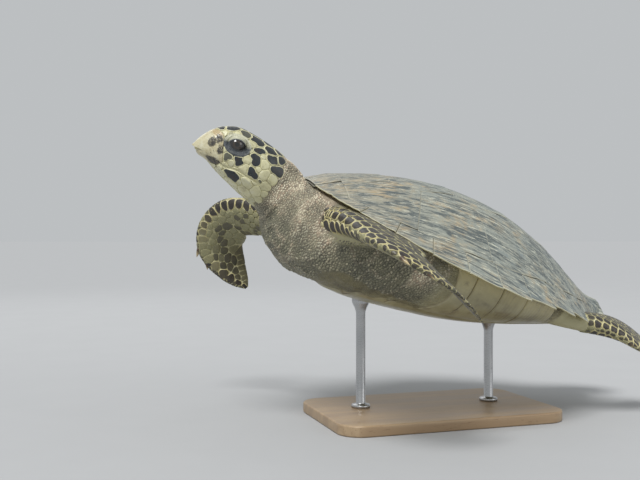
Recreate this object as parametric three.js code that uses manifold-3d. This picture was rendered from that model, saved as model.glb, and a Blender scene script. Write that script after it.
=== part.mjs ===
// Hawksbill sea turtle, a life-size still model of a young animal in a banked, climbing swim,
// carried by a flat base and two rods. Millimetres, +Z up, origin under the middle of the base.
//
// The animal is laid out in its own frame, and then tilted as one group:
//   x runs from the front edge of the shell (0) to its rear tips, so the head is at minus x,
//   y is positive on the animal's right, z is up through the shell.

import * as THREE from 'three';
import { mergeVertices } from 'three/addons/utils/BufferGeometryUtils.js';
import Module from 'manifold-3d';

const wasm = await Module();
wasm.setup();

// ---------------------------------------------------------------- driving dimensions

const GAP = 0.3;                 // clearance between neighbouring pieces
const FAR = 320;                 // reach of the cutters, beyond any surface of the animal

const SHELL = {
  length: 600,                   // straight length, nuchal edge to rear tips
  halfWidth: 225,
  rearTwist: 0.3,                // the rear edge is skewed, with its right corner up
  plate: 8,                      // thickness over the dome
  rim: 3,                        // thickness at the edge
  rimStart: 0.004, rimEnd: 0.985,        // stations of the first and last marginal seams
  columns: 8,                    // facets across it
  teeth: 12,                     // marginal plates on each side, rear pair included
  toothDepth: 9,                 // overhang of the rear marginals' corners
  notch: 9,                      // depth of the notch between the two rear tips
  rimBand: 40,                   // width of the marginal plates
  innerEnd: 545,                 // where the marginals of both sides meet behind the others
};
const NUCHAL = { halfWidth: 45, depth: 40 };

// Seeds of the large plates: each plate is the part of the dome nearest to its own seed.
const VERTEBRALS = [[66, 0], [166, 0], [278, 0], [390, 0], [496, 0]];
const COSTALS = [[96, 108], [204, 130], [322, 114], [432, 82]];

const BELLY = {
  start: 0.12, end: 0.93,        // share of the shell's length under the plastron
  share: 0.66,                   // its width as a share of the shell's
  proud: 3, plate: 7,            // how far it stands out of the flesh, and its thickness
};

// Head and neck, along an axis that rises forwards from the shell's own.
const HEAD = {
  tip: [-193, 0, -20],
  rise: THREE.MathUtils.degToRad(10),
  mouthFloor: 2,                 // height of the closed mouth
  mouthEnd: 112,                 // how far back the mouth reaches
  jawTip: 8,                     // the upper beak reaches this far beyond the lower
  beakEnd: 46,
  jawBeakEnd: 40,
  skullEnd: 130,
  neckEnd: 214,
  eye: { u: 54, side: 22.5, w: 36.5, radius: 15 },
};

const POSE = {
  pitch: THREE.MathUtils.degToRad(21),   // nose up
  bank: THREE.MathUtils.degToRad(12),    // left side down
  nuchalHeight: 400,
  overBase: 262, overBaseHeight: -60,    // place in the body that stands over the base's middle
};

const STAND = {
  length: 400, width: 250, height: 18, corner: 40, bevel: 3,
  rod: 8, cup: 15, cupHeight: 16,
  stations: [165, 400],                  // shell stations that the two rods meet
};

// ---------------------------------------------------------------- numbers and curves

const clamp01 = (value) => Math.min(1, Math.max(0, value));

// Smooth curve through [place, value] pairs, with Catmull-Rom slopes and flat ends outside.
function curve(pairs) {
  const slope = (i) => {
    const a = pairs[Math.max(0, i - 1)];
    const b = pairs[Math.min(pairs.length - 1, i + 1)];
    return (b[1] - a[1]) / (b[0] - a[0]);
  };
  return (place) => {
    const last = pairs.length - 1;
    if (place <= pairs[0][0]) return pairs[0][1];
    if (place >= pairs[last][0]) return pairs[last][1];
    const i = pairs.findIndex((pair) => pair[0] > place) - 1;
    const step = pairs[i + 1][0] - pairs[i][0];
    const s = (place - pairs[i][0]) / step;
    return (2 * s ** 3 - 3 * s ** 2 + 1) * pairs[i][1] + (s ** 3 - 2 * s ** 2 + s) * step * slope(i)
      + (3 * s ** 2 - 2 * s ** 3) * pairs[i + 1][1] + (s ** 3 - s ** 2) * step * slope(i + 1);
  };
}

// Half width and height of a rounded section at an angle: power 2 is an ellipse, more is squarer.
function rounded(angle, power) {
  const across = Math.cos(angle);
  const up = Math.sin(angle);
  return [
    Math.sign(across) * Math.abs(across) ** (2 / power),
    Math.sign(up) * Math.abs(up) ** (2 / power),
  ];
}

// ---------------------------------------------------------------- solids

function geometryToSolid(geometry) {
  const bare = geometry.clone();
  bare.deleteAttribute('normal');
  bare.deleteAttribute('uv');
  const merged = mergeVertices(bare, 1e-4);
  return new wasm.Manifold(new wasm.Mesh({
    numProp: 3,
    vertProperties: new Float32Array(merged.attributes.position.array),
    triVerts: new Uint32Array(merged.index.array),
  }));
}

function solidToGeometry(solid) {
  const mesh = solid.getMesh();
  const geometry = new THREE.BufferGeometry();
  geometry.setAttribute('position', new THREE.BufferAttribute(mesh.vertProperties, 3));
  geometry.setIndex(new THREE.BufferAttribute(mesh.triVerts, 1));
  geometry.computeVertexNormals();
  return geometry;
}

// Closed body through rings of equal count, each ring a loop of [x, y, z]. The two ends are
// fans about the middle of their rings.
function loft(rings) {
  const count = rings[0].length;
  const points = rings.flat();
  const faces = [];
  for (let i = 0; i + 1 < rings.length; i += 1) {
    for (let j = 0; j < count; j += 1) {
      const a = i * count + j;
      const b = i * count + (j + 1) % count;
      faces.push([a, b, a + count], [b, b + count, a + count]);
    }
  }
  for (const [ring, turn] of [[0, 1], [rings.length - 1, -1]]) {
    const middle = points.length;
    const sum = rings[ring].reduce((s, p) => [s[0] + p[0], s[1] + p[1], s[2] + p[2]], [0, 0, 0]);
    points.push(sum.map((value) => value / count));
    for (let j = 0; j < count; j += 1) {
      const face = [middle, ring * count + (j + 1) % count, ring * count + j];
      faces.push(turn > 0 ? face : face.reverse());
    }
  }
  return closedBody(points, faces);
}

// A solid from points and faces, turned right side out by the sign of its volume.
function closedBody(points, faces) {
  const p = points.map((point) => new THREE.Vector3(...point));
  const cross = new THREE.Vector3();
  let volume = 0;
  for (const [a, b, c] of faces) {
    volume += p[a].dot(cross.crossVectors(p[b], p[c]));
  }
  const turned = volume < 0 ? faces.map(([a, b, c]) => [a, c, b]) : faces;
  const geometry = new THREE.BufferGeometry();
  geometry.setAttribute('position', new THREE.Float32BufferAttribute(points.flat(), 3));
  geometry.setIndex(turned.flat());
  return geometryToSolid(geometry);
}

// The part of a solid ahead of a plane, which stands off the plane by half the gap.
function ahead(solid, point, normal) {
  const n = new THREE.Vector3(...normal).normalize();
  const offset = n.dot(new THREE.Vector3(...point)) + GAP / 2;
  return solid.trimByPlane([n.x, n.y, n.z], offset);
}

const behind = (solid, point, normal) => ahead(solid, point, normal.map((value) => -value));

// Upright prism over a plan outline of [x, y] points.
function prism(outline, low, high) {
  const shape = new THREE.Shape(outline.map(([x, y]) => new THREE.Vector2(x, y)));
  const geometry = new THREE.ExtrudeGeometry(shape, { depth: high - low, bevelEnabled: false });
  geometry.translate(0, 0, low);
  return geometryToSolid(geometry);
}

// ---------------------------------------------------------------- carapace

// Plan half width of the smooth rim at a share of the length: blunt in front, drawn out behind.
function halfWidth(t) {
  const peak = 0.4659;
  return SHELL.halfWidth * Math.max(t, 1e-6) ** 0.42 * clamp01(1 - t) ** 0.75 / peak;
}

// Height of the rim: it sags amidships and droops behind, before it flares up at the rear tips.
const rimHeight = curve([[0, 0], [0.1, -8], [0.3, -21], [0.5, -26], [0.7, -23], [0.85, -25],
  [0.93, -28], [0.97, -21], [1, -9]]);

// Height of the keel: highest before the middle, and flared out level over the tail.
const keelHeight = curve([[0, 0], [0.04, 16], [0.1, 34], [0.2, 56], [0.33, 75], [0.47, 81],
  [0.6, 73], [0.72, 53], [0.83, 27], [0.9, 11], [0.95, 4], [1, 3]]);

// Height of the shell over a point of its plan: a blend of a parabola and a bell across it.
function domeHeight(x, y) {
  const t = x / SHELL.length;
  const v = Math.min(1.25, Math.abs(y) / Math.max(halfWidth(t), 16));
  const across = 0.6 * (1 - v * v) + 0.4 * (1 + Math.cos(Math.PI * Math.min(v, 1) ** 1.25)) / 2;
  const twist = SHELL.rearTwist * y * clamp01((t - 0.85) / 0.15) ** 2;
  return rimHeight(t) + (keelHeight(t) - rimHeight(t)) * across + twist;
}

// Stations where marginal plates meet, spaced evenly along the rim from the nuchal backwards.
function rimJoints() {
  const steps = 4000;
  const { rimStart, rimEnd } = SHELL;
  const lengths = [0];
  for (let i = 1; i <= steps; i += 1) {
    const [a, b] = [i - 1, i].map((k) => rimStart + (rimEnd - rimStart) * k / steps);
    const run = Math.hypot((b - a) * SHELL.length, halfWidth(b) - halfWidth(a));
    lengths.push(lengths[i - 1] + run);
  }
  const joints = [];
  for (let k = 0; k <= SHELL.teeth; k += 1) {
    const wanted = lengths[steps] * k / SHELL.teeth;
    const at = lengths.findIndex((value) => value >= wanted);
    joints.push(rimStart + (rimEnd - rimStart) * at / steps);
  }
  return joints;
}

// [station, half width] pairs along the rim: smooth in front, saw-edged from amidships back,
// where each plate stands out over the next, with a small last tooth beside the rear tips.
function rimStations() {
  const joints = rimJoints();
  const tip = { station: 1.012, half: 15 };
  const smoothPlates = 4;
  const stations = [[joints[0], halfWidth(joints[0])]];
  for (let k = 1; k <= SHELL.teeth; k += 1) {
    const reach = k === SHELL.teeth ? 0.2 : clamp01((joints[k] - 0.3) / 0.5);
    const tooth = SHELL.toothDepth * reach;
    const middle = (joints[k - 1] + joints[k]) / 2;
    const after = joints[k] + 2.5 / SHELL.length;
    if (k <= smoothPlates) stations.push([middle, halfWidth(middle) + tooth * 0.4]);
    stations.push([joints[k], Math.max(tip.half + 2, halfWidth(joints[k]) + tooth)]);
    if (tooth > 1 && k < SHELL.teeth) stations.push([after, halfWidth(after)]);
  }
  stations.push([tip.station, tip.half]);
  return stations;
}

const shellThickness = (v) => SHELL.rim + (SHELL.plate - SHELL.rim) * (1 - v ** 4);

// Rings across the shell, from a top surface down to a lower one given as functions of x, y, v.
function shellRings(top, under) {
  const { columns } = SHELL;
  return rimStations().map(([t, half]) => {
    const x = t * SHELL.length;
    const ring = [];
    for (const [side, surface] of [[1, top], [-1, under]]) {
      for (let j = 0; j <= columns; j += 1) {
        const v = side * (2 * j / columns - 1);
        ring.push([x, v * half, surface(x, v * half, v)]);
      }
    }
    return ring;
  });
}

function shellSolid() {
  const under = (x, y, v) => domeHeight(x, y) - shellThickness(v);
  const whole = loft(shellRings(domeHeight, under));
  const { length, notch } = SHELL;
  const wedge = [[length - notch, 0], [length + notch, -notch], [length + notch, notch]];
  return whole.subtract(prism(wedge, -FAR, FAR));
}

// Everything above the shell's underside, to cut the flesh clear of it.
function aboveUnderside() {
  const under = (x, y) => domeHeight(x, y) - SHELL.plate - GAP;
  return loft(shellRings(() => FAR, under));
}

// Plan outline inside the marginal plates.
function innerOutline() {
  const stations = [];
  const steps = 14;
  for (let i = 0; i <= steps; i += 1) {
    const x = NUCHAL.depth + (SHELL.innerEnd - NUCHAL.depth) * i / steps;
    const t = x / SHELL.length;
    const band = SHELL.rimBand * (0.75 + 0.25 * Math.sin(Math.PI * t));
    stations.push([x, halfWidth(t) - band]);
  }
  const right = stations.map(([x, y]) => [x, Math.max(y, 6)]);
  return right.concat(right.map(([x, y]) => [x, -y]).reverse());
}

// Keeps the side of a convex outline where n . p < offset.
function clipOutline(outline, n, offset) {
  const kept = [];
  outline.forEach((p, i) => {
    const q = outline[(i + 1) % outline.length];
    const [a, b] = [p, q].map(([x, y]) => n[0] * x + n[1] * y - offset);
    if (a <= 0) kept.push(p);
    if ((a < 0 && b > 0) || (a > 0 && b < 0)) {
      const s = a / (a - b);
      kept.push([p[0] + (q[0] - p[0]) * s, p[1] + (q[1] - p[1]) * s]);
    }
  });
  return kept;
}

function platePlans() {
  const seeds = VERTEBRALS.map(([x, y], i) => ({ name: `vertebral_${i + 1}`, x, y }));
  COSTALS.forEach(([x, y], i) => {
    seeds.push({ name: `costal_right_${i + 1}`, x, y });
    seeds.push({ name: `costal_left_${i + 1}`, x, y: -y });
  });
  return seeds.map((seed) => {
    let plan = innerOutline();
    for (const other of seeds) {
      if (other !== seed) {
        const run = [other.x - seed.x, other.y - seed.y];
        const far = Math.hypot(...run);
        const n = run.map((value) => value / far);
        plan = clipOutline(plan, n, n[0] * seed.x + n[1] * seed.y + far / 2 - GAP / 2);
      }
    }
    return { name: seed.name, plan };
  });
}

function carapace() {
  const whole = shellSolid();
  const pieces = platePlans().map(({ name, plan }) => (
    [name, whole.intersect(prism(plan, -FAR, FAR))]
  ));
  const grown = innerOutline().map(([x, y]) => [
    x + (x < SHELL.length / 2 ? -GAP : GAP), y + Math.sign(y) * GAP,
  ]);
  const band = whole.subtract(prism(grown, -FAR, FAR));
  const { halfWidth: half, depth } = NUCHAL;
  const nuchalPrism = (edge) => (
    prism([[-depth, -edge], [depth, -edge], [depth, edge], [-depth, edge]], -FAR, FAR)
  );
  pieces.push(['nuchal', band.intersect(nuchalPrism(half - GAP / 2))]);
  const sides = band.subtract(nuchalPrism(half + GAP / 2));
  pieces.push(['marginals_right', ahead(sides, [0, 0, 0], [0, 1, 0])]);
  pieces.push(['marginals_left', ahead(sides, [0, 0, 0], [0, -1, 0])]);
  return pieces;
}

// ---------------------------------------------------------------- the trunk's measures

const TRUNK_POWER = 2.4;         // how square its sections are

const chestDepth = curve([[-46, 92], [-30, 118], [0, 133], [34, 146], [72, 147], [120, 147],
  [210, 135], [270, 125], [330, 110], [420, 83], [510, 54], [545, 42], [575, 33], [590, 28]]);
const trunkHalf = curve([[-46, 36], [-30, 58], [0, 96], [34, 140], [72, 158], [126, 186], [216, 198],
  [330, 178], [420, 138], [500, 92], [560, 50], [590, 24]]);

// Level of the trunk's widest line, and its top, which tucks in under the front of the shell.
const shoulderMiddle = curve([[-46, -36], [0, -50], [60, -38], [300, -34], [590, -30]]);
const shoulderTop = curve([[-46, -18], [-14, -9], [0, -4], [12, 6], [40, 24], [90, 34], [590, 34]]);

// ---------------------------------------------------------------- plastron

// The plastron's outer face keeps to the trunk's underside and stands a little out of it.
function bellyHeight(x, y) {
  const middle = shoulderMiddle(x);
  const across = Math.min(1, Math.abs(y) / trunkHalf(x));
  const round = (1 - across ** TRUNK_POWER) ** (1 / TRUNK_POWER);
  return middle - (chestDepth(x) + middle) * round - BELLY.proud;
}

// Body between two surfaces over the plastron's plan, which may be grown by a margin.
function bellyBody(top, low, grow) {
  const rings = [];
  const stations = 12;
  const columns = 6;
  for (let i = 0; i <= stations; i += 1) {
    const t = BELLY.start + (BELLY.end - BELLY.start) * i / stations;
    const edge = Math.sin(Math.acos(Math.abs(2 * i / stations - 1) ** 5));
    const half = halfWidth(t) * BELLY.share * (0.45 + 0.55 * edge) + grow;
    const x = t * SHELL.length + (i === 0 ? -grow : 0) + (i === stations ? grow : 0);
    const ring = [];
    for (const [side, surface] of [[1, top], [-1, low]]) {
      for (let j = 0; j <= columns; j += 1) {
        const v = side * (2 * j / columns - 1);
        ring.push([x, v * half, surface(x, v * half)]);
      }
    }
    rings.push(ring);
  }
  return loft(rings);
}

const overBelly = (x, y) => bellyHeight(x, y) + BELLY.plate;
const plastron = () => bellyBody(overBelly, bellyHeight, 0);

// The plastron and all below it, to cut the flesh clear of it.
const plastronRoom = () => bellyBody((x, y) => overBelly(x, y) + GAP, () => -FAR, GAP);

// The plastron and all above it, to cut the stand clear of it.
const animalRoom = () => bellyBody(() => FAR, (x, y) => bellyHeight(x, y) - GAP, 30);

// ---------------------------------------------------------------- head and neck

const headAxis = [Math.cos(HEAD.rise), 0, -Math.sin(HEAD.rise)];
const headUp = [Math.sin(HEAD.rise), 0, Math.cos(HEAD.rise)];

// A place given along the head's axis (u, from the beak), to its right (v) and up from it (w).
const headPoint = (u, v, w) => [
  HEAD.tip[0] + headAxis[0] * u + headUp[0] * w,
  HEAD.tip[1] + v,
  HEAD.tip[2] + headAxis[2] * u + headUp[2] * w,
];

const crown = curve([[0, 5], [3, 16], [8, 28], [15, 40], [24, 50], [46, 62.5], [77, 66],
  [112, 66], [138, 63], [162, 58], [186, 48], [228, 34]]);
const throat = curve([[0, -6], [12, -7], [28, -7.5], [46, -13], [66, -18], [95, -24],
  [123, -29], [155, -38], [180, -62], [210, -80], [236, -88]]);
const cheek = curve([[0, 3], [4, 8], [12, 14], [26, 23], [45, 33], [62, 39], [85, 43.5],
  [108, 45], [132, 42.5], [156, 44], [180, 55], [205, 74], [236, 84]]);

function headAndNeck() {
  const rings = [];
  const stations = [0, 3, 8, 15, 24, 34, 46, 60, 76, 94, 112, 129, 147, 165, 183, 204, 236];
  const around = 18;
  for (const u of stations) {
    const ring = [];
    const widest = throat(u) + (crown(u) - throat(u)) * 0.42;
    for (let j = 0; j < around; j += 1) {
      const [across, up] = rounded(2 * Math.PI * (j + 0.5) / around, 2.25);
      const reach = up > 0 ? crown(u) - widest : widest - throat(u);
      ring.push(headPoint(u, cheek(u) * across, widest + reach * up));
    }
    rings.push(ring);
  }
  return loft(rings);
}

function eyeball(side, radius) {
  const ball = new THREE.SphereGeometry(radius, 10, 7);
  const [x, y, z] = headPoint(HEAD.eye.u, side * HEAD.eye.side, HEAD.eye.w);
  ball.translate(x, y, z);
  return geometryToSolid(ball);
}

// ---------------------------------------------------------------- trunk

function trunkBody() {
  const around = 18;
  const stations = [-46, -38, -22, 0, 24, 50, 84, 130, 180, 240, 310, 380, 440, 500, 545, 575, 590];
  return loft(stations.map((x) => {
    const middle = shoulderMiddle(x);
    const ring = [];
    for (let j = 0; j < around; j += 1) {
      const [across, up] = rounded(2 * Math.PI * (j + 0.5) / around, TRUNK_POWER);
      const reach = up > 0 ? shoulderTop(x) - middle : chestDepth(x) + middle;
      ring.push([x, trunkHalf(x) * across, middle + reach * up]);
    }
    return ring;
  }));
}

// ---------------------------------------------------------------- flippers and tail

// Flat limb along a spine: lead and trail are its reach to either side of the spine, thick its
// half thickness, and edge the direction of the leading edge, each along the spine's length.
const FRONT = {
  lead: curve([[0, 28], [0.2, 33], [0.4, 46], [0.52, 51], [0.66, 43], [0.8, 31], [0.92, 18], [1, 4]]),
  trail: curve([[0, 28], [0.25, 32], [0.5, 43], [0.68, 40], [0.84, 28], [0.94, 16], [1, 4]]),
  thick: curve([[0, 23], [0.2, 19], [0.4, 14], [0.6, 8], [0.8, 4], [1, 1.2]]),
};
const HIND = {
  lead: curve([[0, 24], [0.3, 24], [0.55, 36], [0.75, 42], [0.9, 32], [1, 8]]),
  trail: curve([[0, 24], [0.3, 24], [0.55, 36], [0.75, 46], [0.9, 40], [1, 10]]),
  thick: curve([[0, 20], [0.3, 17], [0.55, 11], [0.8, 6], [1, 1.5]]),
};

const LIMBS = {
  flipper_front_left: {
    form: FRONT,
    spine: [[36, -100, -40], [54, -150, -29], [78, -213, -27], [103, -283, -31], [160, -300, -47],
      [250, -264, -81]],
    edge: [[-0.9, -0.4, -0.1], [-0.9, -0.4, -0.12], [-0.85, -0.5, -0.14], [-0.55, -0.82, -0.13],
      [0.1, -0.99, -0.1], [0.3, -0.95, -0.05]],
  },
  flipper_front_right: {
    form: FRONT,
    spine: [[38, 102, -50], [4, 166, -98], [-44, 230, -134], [-41, 250, -187], [-6, 248, -222],
      [34, 236, -245]],
    edge: [[-0.75, 0.15, 0.6], [-0.6, 0.1, 0.8], [-0.92, 0.1, 0.4], [-0.96, -0.05, -0.2],
      [-0.8, -0.15, -0.5], [-0.6, -0.2, -0.7]],
  },
  flipper_hind_left: {
    form: HIND,
    spine: [[430, -70, -48], [500, -88, -38], [575, -92, -25], [622, -90, -28], [692, -80, -37]],
    edge: [[-0.3, -0.9, -0.1], [-0.1, -0.95, -0.2], [0, -0.94, -0.33], [0, -0.94, -0.33],
      [0.1, -0.94, -0.33]],
  },
  flipper_hind_right: {
    form: HIND,
    spine: [[430, 70, -50], [500, 86, -42], [588, 76, -34], [684, 56, -34]],
    edge: [[-0.3, 0.9, -0.15], [-0.1, 0.97, -0.17], [0, 0.98, -0.17], [0.1, 0.98, -0.17]],
  },
};

function limbFrame(limb, s) {
  const spine = new THREE.CatmullRomCurve3(limb.spine.map((p) => new THREE.Vector3(...p)));
  const edges = new THREE.CatmullRomCurve3(limb.edge.map((p) => new THREE.Vector3(...p)));
  const along = spine.getTangent(s);
  const edge = edges.getPoint(s);
  edge.addScaledVector(along, -edge.dot(along)).normalize();
  return { at: spine.getPoint(s), along, edge, up: new THREE.Vector3().crossVectors(along, edge) };
}

function limbBody(limb, grow) {
  const rings = [];
  const stations = 13;
  const around = 10;
  for (let i = 0; i <= stations; i += 1) {
    const s = i / stations;
    const { at, edge, up } = limbFrame(limb, s);
    const lead = limb.form.lead(s) + grow;
    const trail = limb.form.trail(s) + grow;
    const ring = [];
    for (let j = 0; j < around; j += 1) {
      const angle = 2 * Math.PI * j / around;
      const across = (lead - trail) / 2 + (lead + trail) / 2 * Math.cos(angle);
      const bulge = (limb.form.thick(s) + grow) * Math.sin(angle) * (1 + 0.3 * Math.cos(angle));
      ring.push(at.clone().addScaledVector(edge, across).addScaledVector(up, bulge).toArray());
    }
    rings.push(ring);
  }
  return loft(rings);
}

// Claws on the leading edge: [share along the spine, length, root radius].
const CLAWS = { front: [[0.61, 14, 5], [0.69, 8, 3.5]], hind: [[0.62, 10, 4], [0.72, 7, 3.2]] };

function claw(limb, [s, length, radius]) {
  const { at, along, edge } = limbFrame(limb, s);
  const root = at.addScaledVector(edge, limb.form.lead(s) + GAP + 0.6);
  const lean = edge.clone().multiplyScalar(0.55).addScaledVector(along, 0.83).normalize();
  const cone = new THREE.ConeGeometry(radius, length, 8, 1);
  cone.scale(1, 1, 0.7);
  cone.translate(0, length / 2, 0);
  const turn = new THREE.Quaternion().setFromUnitVectors(new THREE.Vector3(0, 1, 0), lean);
  cone.applyQuaternion(turn);
  cone.translate(root.x, root.y, root.z);
  return geometryToSolid(cone).subtract(limbBody(limb, GAP));
}

const TAIL = { root: 562, length: 58, halfWidth: 16, level: -34 };

function tailBody() {
  const stations = [0, 0.3, 0.6, 0.85, 1];
  return loft(stations.map((s) => {
    const half = TAIL.halfWidth * (1 - s) ** 0.7 + 2;
    const ring = [];
    for (let j = 0; j < 10; j += 1) {
      const [across, up] = rounded(2 * Math.PI * j / 10, 2);
      ring.push([TAIL.root + TAIL.length * s, half * across, TAIL.level + 0.7 * half * up]);
    }
    return ring;
  }));
}

// ---------------------------------------------------------------- materials

const finish = (color, roughness, metalness = 0) => () => (
  new THREE.MeshStandardMaterial({ color, roughness, metalness })
);
const PLATE = finish(0x6f7d74, 0.6);
const RIM = finish(0x86866a, 0.6);
const SKIN = finish(0xb9b48f, 0.65);
const DARK = finish(0x2a2f2e, 0.6);
const HORN = finish(0xd2cca4, 0.4);
const BELLY_PLATE = finish(0xb7a67a, 0.5);
const EYE = finish(0x15120f, 0.08);
const STEEL = finish(0x9a9c9e, 0.35, 1);
const WOOD = finish(0x2b2a29, 0.5);

function piece(name, solid, material) {
  const mesh = new THREE.Mesh(solidToGeometry(solid), material());
  mesh.name = name;
  return mesh;
}

// ---------------------------------------------------------------- the animal

function animal() {
  const turtle = new THREE.Group();
  for (const [name, solid] of carapace()) {
    turtle.add(piece(name, solid, name.startsWith('marginals') ? RIM : PLATE));
  }
  turtle.add(piece('plastron', plastron(), BELLY_PLATE));

  const aboveShell = aboveUnderside();
  const belowBelly = plastronRoom();
  const trimmed = (solid) => solid.subtract(aboveShell).subtract(belowBelly);
  let flesh = trimmed(trunkBody().add(headAndNeck()));
  for (const [name, limb] of Object.entries(LIMBS)) {
    flesh = flesh.subtract(limbBody(limb, GAP));
    turtle.add(piece(name, trimmed(limbBody(limb, 0)), DARK));
    const side = name.includes('front') ? 'front' : 'hind';
    CLAWS[side].forEach((spec, i) => {
      turtle.add(piece(`${name.replace('flipper', 'claw')}_${i + 1}`, claw(limb, spec), HORN));
    });
  }
  const { skullEnd, neckEnd, mouthFloor, mouthEnd, beakEnd, jawBeakEnd, jawTip } = HEAD;

  const skullPlane = [headPoint(skullEnd, 0, 0), headAxis];
  const neckPlane = [headPoint(neckEnd, 0, 0), headAxis];
  const headFlesh = behind(flesh, ...skullPlane);
  const neck = behind(ahead(flesh, ...skullPlane), ...neckPlane);
  const trunk = behind(ahead(flesh, ...neckPlane), [TAIL.root - GAP, 0, 0], [1, 0, 0]);
  turtle.add(piece('neck', neck, SKIN));
  turtle.add(piece('trunk', trunk, SKIN));
  turtle.add(piece('tail', trimmed(tailBody()), SKIN));

  // The mouth is a level slit, and the horny beak ends on a slope behind the nostrils.
  const mouth = [headPoint(0, 0, mouthFloor), headUp];
  const slopeUp = [headUp[0] * 0.6 + headAxis[0], 0, headUp[2] * 0.6 + headAxis[2]];
  const beakPlane = [headPoint(beakEnd, 0, mouthFloor), slopeUp];
  const gape = [headPoint(mouthEnd, 0, 0), headAxis];
  const upper = ahead(headFlesh, ...mouth);
  const lower = ahead(behind(headFlesh, ...mouth), headPoint(jawTip, 0, 0), headAxis);
  let head = ahead(upper, ...beakPlane);
  for (const [name, side] of [['eye_right', 1], ['eye_left', -1]]) {
    head = head.subtract(eyeball(side, HEAD.eye.radius + GAP));
    turtle.add(piece(name, eyeball(side, HEAD.eye.radius), EYE));
  }
  const chinPlane = [headPoint(jawBeakEnd, 0, 0), headAxis];
  turtle.add(piece('head', head, SKIN));
  turtle.add(piece('beak_upper', behind(upper, ...beakPlane), HORN));
  turtle.add(piece('beak_lower', behind(lower, ...chinPlane), HORN));
  turtle.add(piece('jaw', behind(ahead(lower, ...chinPlane), ...gape), SKIN));
  turtle.add(piece('throat', ahead(lower, ...gape), SKIN));
  return turtle;
}

// ---------------------------------------------------------------- the stand

function standBase() {
  const { length, width, height, corner, bevel } = STAND;
  const [x, y] = [length / 2 - bevel, width / 2 - bevel];
  const shape = new THREE.Shape();
  shape.moveTo(corner - x, -y);
  shape.lineTo(x - corner, -y);
  shape.absarc(x - corner, corner - y, corner, -Math.PI / 2, 0);
  shape.lineTo(x, y - corner);
  shape.absarc(x - corner, y - corner, corner, 0, Math.PI / 2);
  shape.lineTo(corner - x, y);
  shape.absarc(corner - x, y - corner, corner, Math.PI / 2, Math.PI);
  shape.lineTo(-x, corner - y);
  shape.absarc(corner - x, corner - y, corner, Math.PI, 1.5 * Math.PI);
  const geometry = new THREE.ExtrudeGeometry(shape, {
    depth: height - 2 * bevel, curveSegments: 3, bevelThickness: bevel, bevelSize: bevel, bevelSegments: 1,
  });
  geometry.translate(0, 0, bevel);
  return geometryToSolid(geometry);
}

// Upright rod that opens into a cup, cut to the belly that rests on it.
function standRod(matrix, station) {
  const foot = new THREE.Vector3(station, 0, bellyHeight(station, 0)).applyMatrix4(matrix);
  const { rod, cup, cupHeight, height } = STAND;
  const top = foot.z + cup;
  const rise = foot.z - cupHeight;
  const profile = [[0, height + GAP], [rod, height + GAP], [rod, rise - 14], [cup, rise + 4],
    [cup, top], [0, top]];
  const turned = new THREE.LatheGeometry(profile.map(([r, z]) => new THREE.Vector2(r, z)), 14);
  turned.rotateX(Math.PI / 2);
  turned.translate(foot.x, foot.y, 0);
  return geometryToSolid(turned).subtract(animalRoom().transform(matrix.elements));
}

const turtle = animal();
const tilt = new THREE.Matrix4().makeRotationY(POSE.pitch)
  .multiply(new THREE.Matrix4().makeRotationX(POSE.bank));
const middle = new THREE.Vector3(POSE.overBase, 0, POSE.overBaseHeight).applyMatrix4(tilt);
const place = new THREE.Matrix4().makeTranslation(-middle.x, -middle.y, POSE.nuchalHeight).multiply(tilt);
place.decompose(turtle.position, turtle.quaternion, turtle.scale);

const group = new THREE.Group();
group.add(turtle);
group.add(piece('stand_base', standBase(), WOOD));
STAND.stations.forEach((station, i) => {
  group.add(piece(`stand_rod_${i + 1}`, standRod(place, station), STEEL));
});

export default group;
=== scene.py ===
"""A hawksbill sea turtle, life size, in a banked, climbing swim over a display stand.

The animal is laid out in its own body frame, in millimetres: x runs from the front edge of the
shell (0) to its rear tips (600), so the head is at minus x; y is positive on the animal's right;
z is up through the shell. placed() tilts that frame and gives metres in the frame of the model.
"""

import math

import bpy
import numpy as np
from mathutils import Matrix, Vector


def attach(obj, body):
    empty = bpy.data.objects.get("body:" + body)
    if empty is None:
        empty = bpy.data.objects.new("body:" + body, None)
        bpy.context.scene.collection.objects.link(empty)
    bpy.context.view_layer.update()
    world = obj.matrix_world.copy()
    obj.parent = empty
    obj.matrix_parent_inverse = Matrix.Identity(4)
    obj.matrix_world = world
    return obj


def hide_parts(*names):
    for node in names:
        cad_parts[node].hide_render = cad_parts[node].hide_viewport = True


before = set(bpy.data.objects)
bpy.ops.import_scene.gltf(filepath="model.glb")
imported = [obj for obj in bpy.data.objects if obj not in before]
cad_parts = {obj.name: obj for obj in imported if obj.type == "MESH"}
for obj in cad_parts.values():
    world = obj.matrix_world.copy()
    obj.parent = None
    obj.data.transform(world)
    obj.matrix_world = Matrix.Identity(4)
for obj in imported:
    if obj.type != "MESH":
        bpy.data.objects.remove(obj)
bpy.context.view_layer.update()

# ---------------------------------------------------------------- sizes, in millimetres

MILLI = 0.001                        # a millimetre in metres
LENGTH, HALF_WIDTH = 600.0, 225.0
PITCH, BANK, NUCHAL_HEIGHT = math.radians(21), math.radians(12), 400.0
OVER_BASE = (262.0, 0.0, -60.0)
PLATE, RIM, RIM_BAND, INNER_START, INNER_END = 8.0, 3.0, 40.0, 40.0, 545.0
RIM_START, RIM_END, TEETH, TOOTH_DEPTH, REAR_TWIST = 0.004, 0.985, 12, 9.0, 0.3
NUCHAL_HALF = 45.0
VERTEBRALS = [(66, 0), (166, 0), (278, 0), (390, 0), (496, 0)]
COSTALS = [(96, 108), (204, 130), (322, 114), (432, 82)]
BELLY_START, BELLY_END, BELLY_SHARE, BELLY_PROUD = 72.0, 558.0, 0.66, 3.0
HEAD_TIP, HEAD_RISE = np.array([-193.0, 0.0, -20.0]), math.radians(10)
EYE = {"u": 54.0, "side": 22.5, "w": 36.5, "radius": 15.0}
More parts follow.
